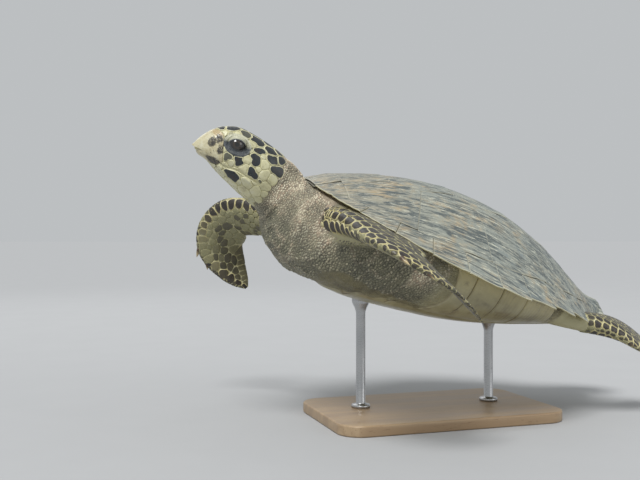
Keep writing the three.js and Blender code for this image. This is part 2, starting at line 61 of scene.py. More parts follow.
ORBIT_LEAN, ORBIT_RISE = math.radians(14), 1.5
FAR_AWAY = 1000.0                    # farther than any neighbour that counts
TAU = 2 * np.pi


# ---------------------------------------------------------------- numbers

def curve(pairs):
    """Smooth curve through (place, value) pairs: cubic pieces whose slope at each pair is that of
    the line through its two neighbours, level beyond the ends."""
    place, value = np.array(pairs, float).T
    last = len(place) - 1
    index = np.arange(last + 1)
    before, after = np.maximum(index - 1, 0), np.minimum(index + 1, last)
    slope = (value[after] - value[before]) / (place[after] - place[before])

    def read(x):
        """The curve's value at x."""
        x = np.clip(x, place[0], place[-1])
        i = np.clip(np.searchsorted(place, x, side="right") - 1, 0, last - 1)
        step = place[i + 1] - place[i]
        s = (x - place[i]) / step
        return ((2 * s**3 - 3 * s**2 + 1) * value[i] + (s**3 - 2 * s**2 + s) * step * slope[i]
                + (3 * s**2 - 2 * s**3) * value[i + 1] + (s**3 - s**2) * step * slope[i + 1])
    return read


def ease(x, low, high):
    """0 below low, 1 above high, and the smooth cubic step between them."""
    s = np.clip((np.asarray(x, float) - low) / (high - low), 0, 1)
    return s * s * (3 - 2 * s)


def bump(x, middle, width):
    """Bell curve of height 1: exp(-(distance / width) squared)."""
    return np.exp(-((x - middle) / width) ** 2)


def unit(v):
    """Each vector divided by its own length."""
    return v / np.maximum(np.linalg.norm(v, axis=-1, keepdims=True), 1e-12)


def circle(count):
    """Even angles round a circle."""
    return np.arange(count) / count * TAU


def towards(angles):
    """Unit directions in a plane: the cosine and the sine of each angle."""
    return np.stack([np.cos(angles), np.sin(angles)], -1)


def noise(points, pitch, seed):
    """Smooth noise in -1 to 1: random values on a cubic lattice of that pitch, blended between
    the eight corners of a cell with quintic weights."""
    p = np.asarray(points, float) / pitch + 31.7 * seed
    cell = np.floor(p).astype(np.int64)
    f = p - cell
    f = f**3 * (f * (f * 6 - 15) + 10)
    total = np.zeros(p.shape[:-1])
    for corner in np.ndindex(2, 2, 2):
        i, j, k = (cell[..., axis] + corner[axis] for axis in range(3))
        h = (i * 73856093) ^ (j * 19349663) ^ (k * 83492791) ^ (seed * 912931)
        h = ((h ^ (h >> 13)) * 1274126177) & 0xFFFFFFFF
        value = ((h ^ (h >> 15)) & 0xFFFF) / 32767.5 - 1
        weight = 1.0
        for axis in range(3):
            weight = weight * (f[..., axis] if corner[axis] else 1 - f[..., axis])
        total += weight * value
    return total


def layered(points, pitch, seed, layers=3):
    """Noise plus half as much at half the pitch, and so on."""
    return sum(noise(points, pitch / 2**k, seed + k) / 2**k for k in range(layers))


# ---------------------------------------------------------------- places

def turn(axis, angle):
    """Rotation matrix about the y or x axis."""
    c, s = math.cos(angle), math.sin(angle)
    return np.array([[c, 0, s], [0, 1, 0], [-s, 0, c]] if axis == "y" else
                    [[1, 0, 0], [0, c, -s], [0, s, c]])


TILT = turn("y", PITCH) @ turn("x", BANK)
MIDDLE = TILT @ np.array(OVER_BASE)
MOVE = np.array([-MIDDLE[0], -MIDDLE[1], NUCHAL_HEIGHT])
HEAD_AXIS = np.array([math.cos(HEAD_RISE), 0, -math.sin(HEAD_RISE)])
HEAD_UP = np.array([math.sin(HEAD_RISE), 0, math.cos(HEAD_RISE)])


def placed(points):
    """Body frame in millimetres to the model's frame in metres."""
    return (points @ TILT.T + MOVE) * MILLI


def head_point(u, v, w):
    """u runs back from the beak, v to the animal's right, w up through the head."""
    u, v, w = np.broadcast_arrays(u, v, w)
    return (HEAD_TIP + u[..., None] * HEAD_AXIS + v[..., None] * np.array([0, 1.0, 0])
            + w[..., None] * HEAD_UP)


def head_place(points):
    """u, v and w of points in the body frame."""
    d = points - HEAD_TIP
    return d @ HEAD_AXIS, d[..., 1], d @ HEAD_UP


# ---------------------------------------------------------------- materials: building blocks

class Board:
    """One node tree, with short ways to add a node and join its inputs to sockets or values."""

    def __init__(self, tree):
        self.tree = tree

    def add(self, kind, *joined, out=0, **choices):
        """A new node with its choices made and its inputs joined in order; gives one output."""
        node = self.tree.nodes.new(kind)
        for name, value in choices.items():
            setattr(node, name, value)
        for socket, value in zip([s for s in node.inputs if s.enabled], joined):
            self.join(value, socket)
        return [s for s in node.outputs if s.enabled][out]

    def join(self, value, socket):
        """A link from another socket, or a plain value."""
        if isinstance(value, bpy.types.NodeSocket):
            self.tree.links.new(value, socket)
        elif value is not None:
            socket.default_value = (*value, 1.0) if socket.type == "RGBA" else value

    def number(self, name):
        """One of the piece's own numbers."""
        return self.add("ShaderNodeAttribute", attribute_name=name, out=2)

    def place(self, name):
        """One of the piece's own places, in millimetres."""
        return self.add("ShaderNodeAttribute", attribute_name=name, out=1)

    def object_place(self):
        """The place in the piece's own frame, in metres."""
        return self.add("ShaderNodeTexCoord", out=3)

    def calc(self, operation, *values):
        """One step of arithmetic."""
        return self.add("ShaderNodeMath", *values, operation=operation)

    def times(self, one, other):
        """One value multiplied by another."""
        return self.calc("MULTIPLY", one, other)

    def plus(self, one, other):
        """The sum of two values."""
        return self.calc("ADD", one, other)

    def part(self, place, axis):
        """x, y or z of a place, for axis 0, 1 or 2."""
        return self.add("ShaderNodeSeparateXYZ", place, out=axis)

    def step(self, value, low, high, start=0.0, end=1.0):
        """start below low, end above high, and a smooth step between them."""
        return self.add("ShaderNodeMapRange", value, low, high, start, end,
                        interpolation_type="SMOOTHSTEP")

    def mix(self, share, one, other):
        """The colour one, with a share of the colour other."""
        return self.add("ShaderNodeMix", share, one, other, data_type="RGBA")

    def scaled(self, place, scale):
        """A place whose axes are multiplied by the parts of scale."""
        return self.add("ShaderNodeMapping", place, None, None, scale)

    def cloud(self, place, scale, detail=3.0, rough=0.55, warp=0.0):
        """Noise between 0 and 1, about 0.5."""
        return self.add("ShaderNodeTexNoise", place, scale, detail, rough, 2.0, warp)

    def cracks(self, place, scale):
        """Distance to the border between cells strewn at random."""
        return self.add("ShaderNodeTexVoronoi", place, scale, feature="DISTANCE_TO_EDGE")

    def within(self, place, middle, reach, fray):
        """1 inside an ellipsoid, 0 outside, with an edge moved by fray."""
        away = self.add("ShaderNodeVectorMath", place, middle, operation="SUBTRACT")
        shrunk = self.add("ShaderNodeVectorMath", away, [1 / r for r in reach],
                          operation="MULTIPLY")
        far = self.add("ShaderNodeVectorMath", shrunk, operation="LENGTH", out=0)
        return self.step(self.plus(far, fray), 1.18, 0.82)


def effect(name, takes, gives, build):
    """A shader node group. takes and gives list its sockets as (label, kind, value); build gets its
    board and the sockets it takes by label, and returns the sockets to give in order."""
    tree = bpy.data.node_groups.new(name, "ShaderNodeTree")
    for label, kind, value in takes:
        tree.interface.new_socket(label, in_out="INPUT", socket_type=kind).default_value = value
    for label, kind in gives:
        tree.interface.new_socket(label, in_out="OUTPUT", socket_type=kind)
    board = Board(tree)
    start, end = tree.nodes.new("NodeGroupInput"), tree.nodes.new("NodeGroupOutput")
    for socket, value in zip(end.inputs, build(board, {s.name: s for s in start.outputs})):
        tree.links.new(value, socket)
    return tree


def use(board, tree, **joined):
    """Place a group in a material; the names of joined are its labels in lower case."""
    node = board.tree.nodes.new("ShaderNodeGroup")
    node.node_tree = tree
    for socket in node.inputs:
        board.join(joined.get(socket.name.lower()), socket)
    return list(node.outputs)


def finish_of(name, paint, **constant):
    """A material round one Principled shader. paint gets the board and returns its base colour,
    roughness and height in metres; constant are plain values for the shader's own sockets."""
    material = bpy.data.materials.new(name)
    material.use_nodes = True
    tree = material.node_tree
    tree.nodes.clear()
    board = Board(tree)
    shader = tree.nodes.new("ShaderNodeBsdfPrincipled")
    colour, rough, height = paint(board)
    board.join(colour, shader.inputs["Base Color"])
    board.join(rough, shader.inputs["Roughness"])
    if height is not None:
        normal = board.add("ShaderNodeBump", 1.0, 1.0, None, height)
        tree.links.new(normal, shader.inputs["Normal"])
    for label, value in constant.items():
        board.join(value, shader.inputs[label.replace("_", " ")])
    end = tree.nodes.new("ShaderNodeOutputMaterial")
    tree.links.new(shader.outputs[0], end.inputs["Surface"])
    return material


# ---------------------------------------------------------------- materials: shared effects

FLOAT, VECTOR, COLOUR = "NodeSocketFloat", "NodeSocketVector", "NodeSocketColor"


def patchy(board, takes):
    """Three colours in soft patches: two layers of noise, 0.7 of the wide one and 0.3 of the small
    one, choose between them. Gives the small one too."""
    place, scale = takes["Place"], takes["Scale"]
    wide = board.cloud(place, scale, 3.0, 0.6, 0.4)
    small = board.cloud(place, board.times(scale, 5.3), 4.0, 0.6)
    blend = board.plus(board.times(wide, 0.7), board.times(small, 0.3))
    low = board.mix(board.step(blend, 0.36, 0.5), takes["Low"], takes["Middle"])
    return board.mix(board.step(blend, 0.5, 0.64), low, takes["High"]), small


PATCHY = effect("patchy colour", [
    ("Place", VECTOR, (0, 0, 0)), ("Scale", FLOAT, 1.0), ("Low", COLOUR, (0, 0, 0, 1)),
    ("Middle", COLOUR, (0, 0, 0, 1)), ("High", COLOUR, (0, 0, 0, 1))],
    [("Color", COLOUR), ("Fine", FLOAT)], patchy)


def wrinkled(board, takes):
    """Height of fine creased skin: cracks between cells of two sizes, and a little grain."""
    place, scale = takes["Place"], takes["Scale"]
    warp = board.cloud(place, board.times(scale, 0.5), 2.0, 0.5)
    moved = board.add("ShaderNodeVectorMath", place, board.add(
        "ShaderNodeCombineXYZ", board.times(warp, 3.0), board.times(warp, 2.0), warp),
        operation="ADD")
    wide = board.step(board.cracks(moved, scale), 0.0, 0.16)
    fine = board.step(board.cracks(moved, board.times(scale, 2.3)), 0.0, 0.14)
    grain = board.cloud(place, board.times(scale, 6.0), 2.0, 0.5)
    total = board.plus(wide, board.times(fine, 0.45))
    return [board.plus(total, board.times(grain, 0.25))]


WRINKLED = effect("wrinkled skin", [("Place", VECTOR, (0, 0, 0)), ("Scale", FLOAT, 1.0)],
                  [("Height", FLOAT)], wrinkled)


def bordered(board, takes):
    """How dark a scale is at a place: its own tone inside, and pale within a border whose width
    wavers. Pale ticks wander over the dark."""
    waver = board.calc("SUBTRACT", board.cloud(takes["Place"], 0.35, 3.0, 0.6), 0.5)
    border = board.plus(takes["Border"], board.times(waver, takes["Waver"]))
    inside = board.step(takes["Edge"], board.calc("SUBTRACT", border, 0.35),
                        board.plus(border, 0.35))
    ticks = board.step(board.cloud(takes["Place"], 0.62, 3.0, 0.65, 1.2), 0.66, 0.72)
    kept = board.calc("SUBTRACT", 1.0, board.times(ticks, takes["Ticks"]))
    return [board.times(board.times(inside, takes["Tone"]), kept)]


BORDERED = effect("dark scale in a pale border", [
    ("Place", VECTOR, (0, 0, 0)), ("Edge", FLOAT, 0.0), ("Tone", FLOAT, 1.0),
    ("Border", FLOAT, 1.0), ("Waver", FLOAT, 1.0), ("Ticks", FLOAT, 0.5)],
    [("Dark", FLOAT)], bordered)


def streaked(board, takes):
    """Long uneven streaks along the shell, and finer ones among them: two noises stretched along
    x. Gives a share for the broad and one for the fine."""
    broad = board.cloud(board.scaled(takes["Place"], (0.019, 0.15, 0.08)), 1.0, 5.0, 0.66, 0.7)
    fine = board.cloud(board.scaled(takes["Place"], (0.036, 0.36, 0.2)), 1.0, 5.0, 0.7, 0.5)
    return board.step(broad, 0.40, 0.58), board.step(fine, 0.50, 0.66)


STREAKED = effect("streaked horn", [("Place", VECTOR, (0, 0, 0))],
                  [("Broad", FLOAT), ("Fine", FLOAT)], streaked)


def ringed(board, takes):
    """Height of growth rings that follow a plate's outline: the sine of the distance to it, with
    a noise that makes their spacing and depth uneven."""
    waver = board.cloud(takes["Place"], 0.05, 3.0, 0.6)
    phase = board.plus(board.times(takes["Edge"], takes["Pitch"]), board.times(waver, 9.0))
    return [board.times(board.calc("SINE", phase), waver)]


RINGED = effect("growth rings", [("Place", VECTOR, (0, 0, 0)), ("Edge", FLOAT, 0.0),
                                 ("Pitch", FLOAT, 1.0)], [("Height", FLOAT)], ringed)


# ---------------------------------------------------------------- materials: the animal's finishes

CREAM, YELLOW_CREAM = (0.62, 0.59, 0.36), (0.56, 0.49, 0.24)
SLATE, SLATE_BROWN = (0.010, 0.011, 0.012), (0.030, 0.023, 0.018)

# Low, middle and high colour of each patchy ground.
HEAD_DARK = SLATE, (0.022, 0.028, 0.032), SLATE_BROWN
HEAD_PALE = (0.46, 0.43, 0.26), CREAM, (0.66, 0.64, 0.44)
LIMB_DARK = SLATE, SLATE_BROWN, (0.045, 0.038, 0.028)
LIMB_PALE = (0.42, 0.38, 0.20), YELLOW_CREAM, (0.62, 0.58, 0.36)
SEAM_SKIN = (0.44, 0.40, 0.24), CREAM, YELLOW_CREAM
NECK_SKIN = (0.22, 0.18, 0.13), (0.34, 0.28, 0.20), (0.48, 0.41, 0.29)
CHEST_SKIN = (0.080, 0.079, 0.056), (0.135, 0.130, 0.088), (0.21, 0.195, 0.125)
SMOOTH_SKIN = (0.17, 0.15, 0.085), (0.27, 0.24, 0.13), (0.37, 0.33, 0.19)
PALE_GRANULE = (0.50, 0.435, 0.315), (0.66, 0.60, 0.44), (0.75, 0.70, 0.53)
DUSKY_GRANULE = (0.140, 0.135, 0.095), (0.225, 0.214, 0.145), (0.32, 0.30, 0.20)
SMOOTH_GRANULE = (0.19, 0.17, 0.098), (0.29, 0.26, 0.145), (0.39, 0.35, 0.205)
SHELL_GROUND = (0.195, 0.230, 0.225), (0.270, 0.290, 0.250), (0.40, 0.315, 0.19)
BELOW_RIM = (0.36, 0.29, 0.13), YELLOW_CREAM, (0.60, 0.55, 0.32)
BELLY_GROUND = (0.19, 0.165, 0.09), (0.29, 0.26, 0.145), (0.37, 0.335, 0.195)
BEAK_GROUND = (0.48, 0.42, 0.25), (0.60, 0.55, 0.36), (0.68, 0.65, 0.48)
LID_DARK = (0.034, 0.040, 0.046), (0.068, 0.078, 0.086), (0.14, 0.145, 0.135)
LID_PALE = (0.42, 0.42, 0.31), (0.60, 0.59, 0.43), (0.70, 0.68, 0.50)
LIP_SKIN = (0.44, 0.40, 0.24), CREAM, (0.64, 0.61, 0.42)


def patches(board, place, scale, colours):
    """Three colours in soft patches over a place, and the finer of the noises behind them."""
    low, middle, high = colours
    return use(board, PATCHY, place=place, scale=scale, low=low, middle=middle, high=high)


def relief(board, *layers):
    """Height in metres: the sum of the layers' values, each times its own millimetres."""
    total = None
    for value, tall in layers:
        layer = board.times(value, tall * MILLI)
        total = layer if total is None else board.plus(total, layer)
    return total


def scale_paint(waver, ticks, dark_colours, pale_colours):
    """Dark scales in pale borders; the height holds fine grain and the scale's own rings."""
    def paint(board):
        """Colour, roughness and height of one kind of scale."""
        place, edge = board.place("body"), board.number("edge")
        dark, = use(board, BORDERED, place=place, edge=edge, tone=board.number("tone"),
                    border=board.number("border"), waver=waver, ticks=ticks)
        inky, grain = patches(board, place, 0.11, dark_colours)
        pale, _ = patches(board, place, 0.07, pale_colours)
        olive = board.mix(board.step(grain, 0.35, 0.65), (0.20, 0.20, 0.10), (0.33, 0.31, 0.17))
        pale = board.mix(board.number("kind"), pale, olive)
        rings, = use(board, RINGED, place=place, edge=edge, pitch=3.2)
        rough = board.step(grain, 0.3, 0.7, 0.30, 0.48)
        return board.mix(dark, pale, inky), rough, relief(board, (grain, 0.16), (rings, 0.05))
    return paint


HEAD_SCALE = finish_of("head scale", scale_paint(1.5, 0.25, HEAD_DARK, HEAD_PALE),
                       Coat_Weight=0.12, Coat_Roughness=0.25)
LIMB_SCALE = finish_of("flipper scale", scale_paint(0.9, 0.6, LIMB_DARK, LIMB_PALE),
                       Coat_Weight=0.12, Coat_Roughness=0.3)


def skin_paint(board):
    """Cream between the scales of the head, olive cream on the flippers, light brown under the pale
    granules of the neck, dusky olive below, and smooth tan skin on the flank and the belly."""
    place, grain, flank = board.place("body"), board.number("grain"), board.number("flank")
    seam, fine = patches(board, place, 0.05, SEAM_SKIN)
    seam = board.mix(board.number("limb"), seam, (0.47, 0.44, 0.26))
    neck, _ = patches(board, place, 0.04, NECK_SKIN)
    chest, _ = patches(board, place, 0.03, CHEST_SKIN)
    smooth, _ = patches(board, place, 0.02, SMOOTH_SKIN)
    # the light share holds painted shade in the folds' hollows and a painted highlight on their
    # crests
    colour = board.mix(grain, seam, board.mix(board.number("light"), chest, neck))
    colour = board.mix(flank, colour, smooth)
    crease, = use(board, WRINKLED, place=place, scale=0.26)
    depth = board.plus(board.times(flank, 0.75), board.times(grain, 0.4))
    height = board.times(crease, board.times(board.plus(depth, 0.12), 0.8 * MILLI))
    return colour, board.step(fine, 0.3, 0.7, 0.42, 0.62), height


SKIN = finish_of("skin", skin_paint, Coat_Weight=0.08, Coat_Roughness=0.3)


def granule_paint(board):
    """Cream and pinkish granules on the neck and darker, olive ones below it, strewn together; the
    last ones before the smooth skin take its tan."""
    place, tone = board.place("body"), board.number("tone")
    pale, grain = patches(board, place, 0.05, PALE_GRANULE)
    pale = board.mix(board.step(tone, 0.66, 0.9, 0.0, 0.7), pale, (0.44, 0.30, 0.21))
    pale = board.mix(board.step(tone, 0.16, 0.06), pale, (0.22, 0.19, 0.145))
    dusky, _ = patches(board, place, 0.04, DUSKY_GRANULE)
    dusky = board.mix(board.step(tone, 0.80, 0.95), dusky, (0.46, 0.42, 0.29))
    smooth, _ = patches(board, place, 0.02, SMOOTH_GRANULE)
    # the light share holds painted shade in the folds' hollows and a painted highlight on their
    # crests
    colour = board.mix(board.number("light"), dusky, pale)
    colour = board.mix(board.number("ends"), colour, smooth)
    return colour, board.step(grain, 0.3, 0.7, 0.42, 0.6), relief(board, (grain, 0.2))


GRANULE = finish_of("neck granule", granule_paint, Coat_Weight=0.08, Coat_Roughness=0.3)


def shell_paint(board):
    """Grey-olive horn in pale and dark streaks with amber patches, more amber in front, with a
    painted highlight as a pale band along the plates' rounded edges by the seams, and dark within
    the seams;
    growth rings show near a plate's outline."""
    place, edge = board.place("body"), board.number("edge")
    broad, fine = use(board, STREAKED, place=place)
    ground, grain = patches(board, place, 0.013, SHELL_GROUND)
    front = board.times(board.step(board.part(place, 0), 210.0, 10.0), 0.55)
    ground = board.mix(front, ground, (0.38, 0.30, 0.18))
    colour = board.mix(broad, (0.080, 0.098, 0.098), ground)
    colour = board.mix(board.times(fine, 0.8), colour, (0.62, 0.62, 0.50))
    scuff = board.step(board.cloud(place, 0.42, 5.0, 0.72), 0.58, 0.68)
    colour = board.mix(board.times(scuff, 0.45), colour, (0.52, 0.51, 0.41))
    # painted highlight: a pale band along the rounded edge of each plate, just inside its seam
    painted_edge_highlight = board.step(board.plus(edge, board.times(grain, 2.4)), 3.4, 1.4)
    colour = board.mix(board.times(painted_edge_highlight, 0.5), colour, (0.50, 0.48, 0.36))
    colour = board.mix(board.step(edge, 0.55, 0.15, 0.0, 0.6), colour, (0.13, 0.12, 0.09))
    rings, = use(board, RINGED, place=place, edge=edge, pitch=0.8)
    rings = board.times(rings, board.step(edge, 26.0, 9.0))
    rough = board.step(board.plus(scuff, fine), 0.0, 1.6, 0.42, 0.62)
    return colour, rough, relief(board, (fine, 0.32), (rings, 0.22), (grain, 0.25))


def marginal_paint(board):
    """The carapace's horn above, a thin pale line at the rim, and yellow-cream horn beneath."""
    under = board.number("under")
    colour, rough, height = shell_paint(board)
    below, _ = patches(board, board.place("body"), 0.03, BELOW_RIM)
    rim = board.times(board.step(under, 0.0, 0.2), board.step(under, 0.75, 0.4))
    colour = board.mix(board.step(under, 0.45, 0.8), colour, below)
    return board.mix(board.times(rim, 0.8), colour, (0.56, 0.54, 0.38)), rough, height


CARAPACE = finish_of("carapace horn", shell_paint, Coat_Weight=0.12, Coat_Roughness=0.3)
MARGINAL = finish_of("marginal horn", marginal_paint, Coat_Weight=0.12, Coat_Roughness=0.3)


def belly_paint(board):
    """Tan belly horn, yellow-cream higher up the sides, with brown smudges, pale brown seams and
    growth rings."""
    place, edge = board.place("body"), board.number("edge")
    colour, grain = patches(board, place, 0.014, BELLY_GROUND)
    high = board.step(board.part(place, 2), -66.0, -26.0, 0.0, 0.75)
    colour = board.mix(high, colour, YELLOW_CREAM)
    smudge = board.step(board.cloud(place, 0.045, 5.0, 0.65, 0.6), 0.56, 0.68)
    colour = board.mix(board.times(smudge, 0.45), colour, (0.15, 0.11, 0.065))
    seam = board.step(edge, 1.6, 0.2)
    colour = board.mix(board.times(seam, 0.5), colour, (0.28, 0.22, 0.12))
    rings, = use(board, RINGED, place=place, edge=edge, pitch=0.9)
    height = relief(board, (rings, 0.16), (grain, 0.25))
    return colour, board.step(grain, 0.3, 0.7, 0.28, 0.45), height


PLASTRON = finish_of("belly horn", belly_paint, Coat_Weight=0.3, Coat_Roughness=0.22)

# Middle and half lengths of the beak's marks, as u, v and w of the right side.
TAN_MARK = (21, 12, 39), (12, 16, 7.5)
DARK_MARKS = [((20, 17, 21), (6.5, 12, 8)), ((26.5, 19, 31), (6.5, 12, 7)),
              ((37, 22, 18), (6, 14, 9.5))]
JAW_MARK = (39, 22, -3.5), (17, 14, 5.6)
SPECKED = (30, 24, 14), (12, 14, 12)


def beak_paint(board):
    """Cream horn with a tan patch at the top rear, flecked dark marks before the eye and on the
    jaw, specks, and growth lines that run along its length."""
    place = board.place("head")
    side = board.calc("ABSOLUTE", board.part(place, 1))
    mirrored = board.add("ShaderNodeCombineXYZ", board.part(place, 0), side, board.part(place, 2))
    colour, grain = patches(board, mirrored, 0.06, BEAK_GROUND)
    fray = board.times(board.calc("SUBTRACT", board.cloud(mirrored, 0.22, 4.0, 0.6), 0.5), 1.1)
    tan = board.within(mirrored, *TAN_MARK, fray)
    colour = board.mix(board.times(tan, 0.7), colour, (0.42, 0.29, 0.12))
    blobs = [board.within(mirrored, *mark, fray) for mark in DARK_MARKS]
    dark = board.calc("MAXIMUM", board.calc("MAXIMUM", blobs[0], blobs[1]), blobs[2])
    flecks = board.step(board.cloud(mirrored, 0.33, 3.0, 0.6), 0.32, 0.46, 0.4, 1.0)
    mark = board.calc("MAXIMUM", board.times(dark, flecks),
                      board.within(mirrored, *JAW_MARK, fray))
    speck = board.step(board.cloud(mirrored, 0.3, 3.0, 0.6), 0.64, 0.70)
    speck = board.times(speck, board.within(mirrored, *SPECKED, fray))
    colour = board.mix(board.calc("MAXIMUM", mark, speck), colour, (0.035, 0.032, 0.028))
    lines = board.cloud(board.scaled(mirrored, (0.05, 0.4, 0.5)), 1.0, 4.0, 0.6)
    colour = board.mix(board.step(lines, 0.42, 0.68, 0.0, 0.3), colour, (0.40, 0.34, 0.20))
    height = relief(board, (lines, 0.35), (grain, 0.15))
    return colour, board.step(grain, 0.3, 0.7, 0.26, 0.42), height


HORN = finish_of("beak horn", beak_paint, Coat_Weight=0.3, Coat_Roughness=0.2)


def claw_paint(board):
    """Dark brown horn at the root, paling to amber at the point, in lines round the claw."""
    edge = board.number("edge")
    lines = board.calc("SINE", board.times(edge, 3.6))
    grain = board.cloud(board.place("head"), 0.5, 3.0, 0.6)
    pale = board.step(board.plus(edge, board.times(grain, 3.0)), 5, 13)
    colour = board.mix(pale, (0.09, 0.055, 0.028), (0.50, 0.39, 0.20))
    height = relief(board, (lines, 0.06), (grain, 0.12))
    return colour, board.step(grain, 0.3, 0.7, 0.25, 0.4), height


CLAW = finish_of("claw horn", claw_paint, Coat_Weight=0.3, Coat_Roughness=0.15)


def lid_paint(board):
    """Blue-grey creased skin, pale over the upper lid and dark at the lids' margins."""
    place, edge = board.place("head"), board.number("edge")
    colour, grain = patches(board, place, 0.12, LID_DARK)
    pale = board.times(board.number("upper"), board.step(edge, 1.7, 2.8))
    pale = board.times(pale, board.step(edge, 10.2, 8.8))
    light, _ = patches(board, place, 0.2, LID_PALE)
    colour = board.mix(board.times(pale, 0.95), colour, light)
    colour = board.mix(board.step(edge, 1.9, 0.5), colour, (0.022, 0.022, 0.023))
    crease, = use(board, WRINKLED, place=place, scale=0.55)
    return colour, board.step(grain, 0.3, 0.7, 0.35, 0.55), relief(board, (crease, 0.22))


LID = finish_of("eyelid", lid_paint, Coat_Weight=0.2, Coat_Roughness=0.25)


def lip_paint(board):
    """The head's cream skin, with painted shade darkening it to brown within the crease between the
    lips.
    """
    place = board.place("body")
    colour, fine = patches(board, place, 0.05, LIP_SKIN)
    # painted shade: dark brown within a millimetre of the crease between the lips
    painted_crease_shade = board.step(board.number("edge"), 1.0, 0.3)
    colour = board.mix(painted_crease_shade, colour, (0.045, 0.038, 0.028))
    crease, = use(board, WRINKLED, place=place, scale=0.5)
    return colour, board.step(fine, 0.3, 0.7, 0.38, 0.55), relief(board, (crease, 0.12))


LIP = finish_of("lips", lip_paint, Coat_Weight=0.12, Coat_Roughness=0.3)


def eyeball_paint(board):
    """A round pupil in a dark brown iris with fine rays, and a black rim."""
    axis, spin = board.number("axis"), board.number("spin")
    round_ = board.add("ShaderNodeCombineXYZ", board.times(board.calc("SINE", spin), 9.0),
                       board.times(board.calc("COSINE", spin), 9.0), board.times(axis, 4.0))
    rays = board.cloud(round_, 1.0, 4.0, 0.6)
    iris = board.mix(board.step(rays, 0.35, 0.65), (0.014, 0.010, 0.007), (0.050, 0.034, 0.020))
    colour = board.mix(board.step(axis, 0.20, 0.24), (0.002, 0.002, 0.002), iris)
    colour = board.mix(board.step(axis, 0.42, 0.50), colour, (0.012, 0.011, 0.011))
    return colour, board.step(rays, 0.0, 1.0, 0.10, 0.14), None


EYEBALL = finish_of("eyeball", eyeball_paint, Coat_Weight=1.0, Coat_Roughness=0.02)


# ---------------------------------------------------------------- materials: stand and floor

def wood_paint(board):
    """Planed ash: uneven grain drawn out along the plank, with darker pores."""
    place = board.object_place()
    bands = board.cloud(board.scaled(place, (2.2, 60.0, 24.0)), 1.0, 4.0, 0.6, 0.6)
    bands = board.step(bands, 0.36, 0.64)
    pores = board.cloud(board.scaled(place, (40.0, 900.0, 300.0)), 1.0, 4.0, 0.7)
    colour = board.mix(bands, (0.31, 0.21, 0.12), (0.42, 0.305, 0.185))
    colour = board.mix(board.step(pores, 0.58, 0.70), colour, (0.20, 0.125, 0.065))
    return colour, board.step(bands, 0.0, 1.0, 0.38, 0.5), relief(board, (pores, -0.12))


def steel_paint(board):
    """Brushed steel: fine scratches round the rod, and a faint dull patchiness."""
    place = board.object_place()
    scratch = board.cloud(board.scaled(place, (120.0, 120.0, 3200.0)), 1.0, 4.0, 0.7)
    cloud = board.cloud(place, 30.0, 3.0, 0.5)
    colour = board.mix(cloud, (0.42, 0.43, 0.44), (0.56, 0.56, 0.56))
    return colour, board.step(scratch, 0.3, 0.7, 0.24, 0.42), relief(board, (scratch, 0.03))


def floor_paint(board):
    """Pale matt floor with a faint mottle."""
    mottle = board.cloud(board.object_place(), 7.0, 4.0, 0.6)
    colour = board.mix(mottle, (0.44, 0.445, 0.45), (0.465, 0.47, 0.475))
    return colour, board.step(mottle, 0.0, 1.0, 0.6, 0.75), None


WOOD = finish_of("stand ash", wood_paint, Coat_Weight=0.15, Coat_Roughness=0.3)
STEEL = finish_of("stand steel", steel_paint, Metallic=1.0)
FLOOR = finish_of("studio floor", floor_paint, Specular_IOR_Level=0.0)


# ---------------------------------------------------------------- meshes

def grid_quads(rows, columns, closed=False, start=0):
    """Faces of a grid of vertices kept row by row; closed joins the last column to the first."""
    i, j = np.meshgrid(np.arange(rows - 1), np.arange(columns if closed else columns - 1),
                       indexing="ij")
    k = (j + 1) % columns
    return start + np.stack([i * columns + j, i * columns + k, (i + 1) * columns + k,
                             (i + 1) * columns + j], -1).reshape(-1, 4)


def fan(middle, ring, flip=False):
    """Triangles from a middle vertex to a closed ring of vertices."""
    after = np.roll(ring, -1)
    faces = np.stack([np.full(len(ring), middle), ring, after], -1)
    return faces[:, ::-1] if flip else faces


def tube(rings):
    """Closed surface over rings of equal count: its grid, and a fan at either end."""
    rows, columns = rings.shape[:2]
    points = np.concatenate([rings.reshape(-1, 3), rings[:1].mean(1), rings[-1:].mean(1)])
    first, last = np.arange(columns), (rows - 1) * columns + np.arange(columns)
    return points, [grid_quads(rows, columns, closed=True), fan(rows * columns, first, flip=True),
                    fan(rows * columns + 1, last)]


def face_normals(points, quads):
    """Each quad's normal, twice as long as its area: the cross product of its diagonals."""
    first, second, third, last = (points[quads[:, k]] for k in range(4))
    return np.cross(third - first, last - second)


def vertex_normals(points, quads):
    """Unit sums of the normals of the quads round each vertex, so that larger quads count more."""
    each = face_normals(points, quads)
    total = np.stack([np.bincount(quads.ravel(), np.repeat(each[:, axis], 4), len(points))
                      for axis in range(3)], -1)
    return unit(total)


def outwards(points, faces, middle):
    """The same faces, turned round if their first group mostly faces the middle."""
    away = points[faces[0][:, 0]] - middle
    outside = (face_normals(points, faces[0]) * away).sum() > 0
    return faces if outside else [group[:, ::-1] for group in faces]


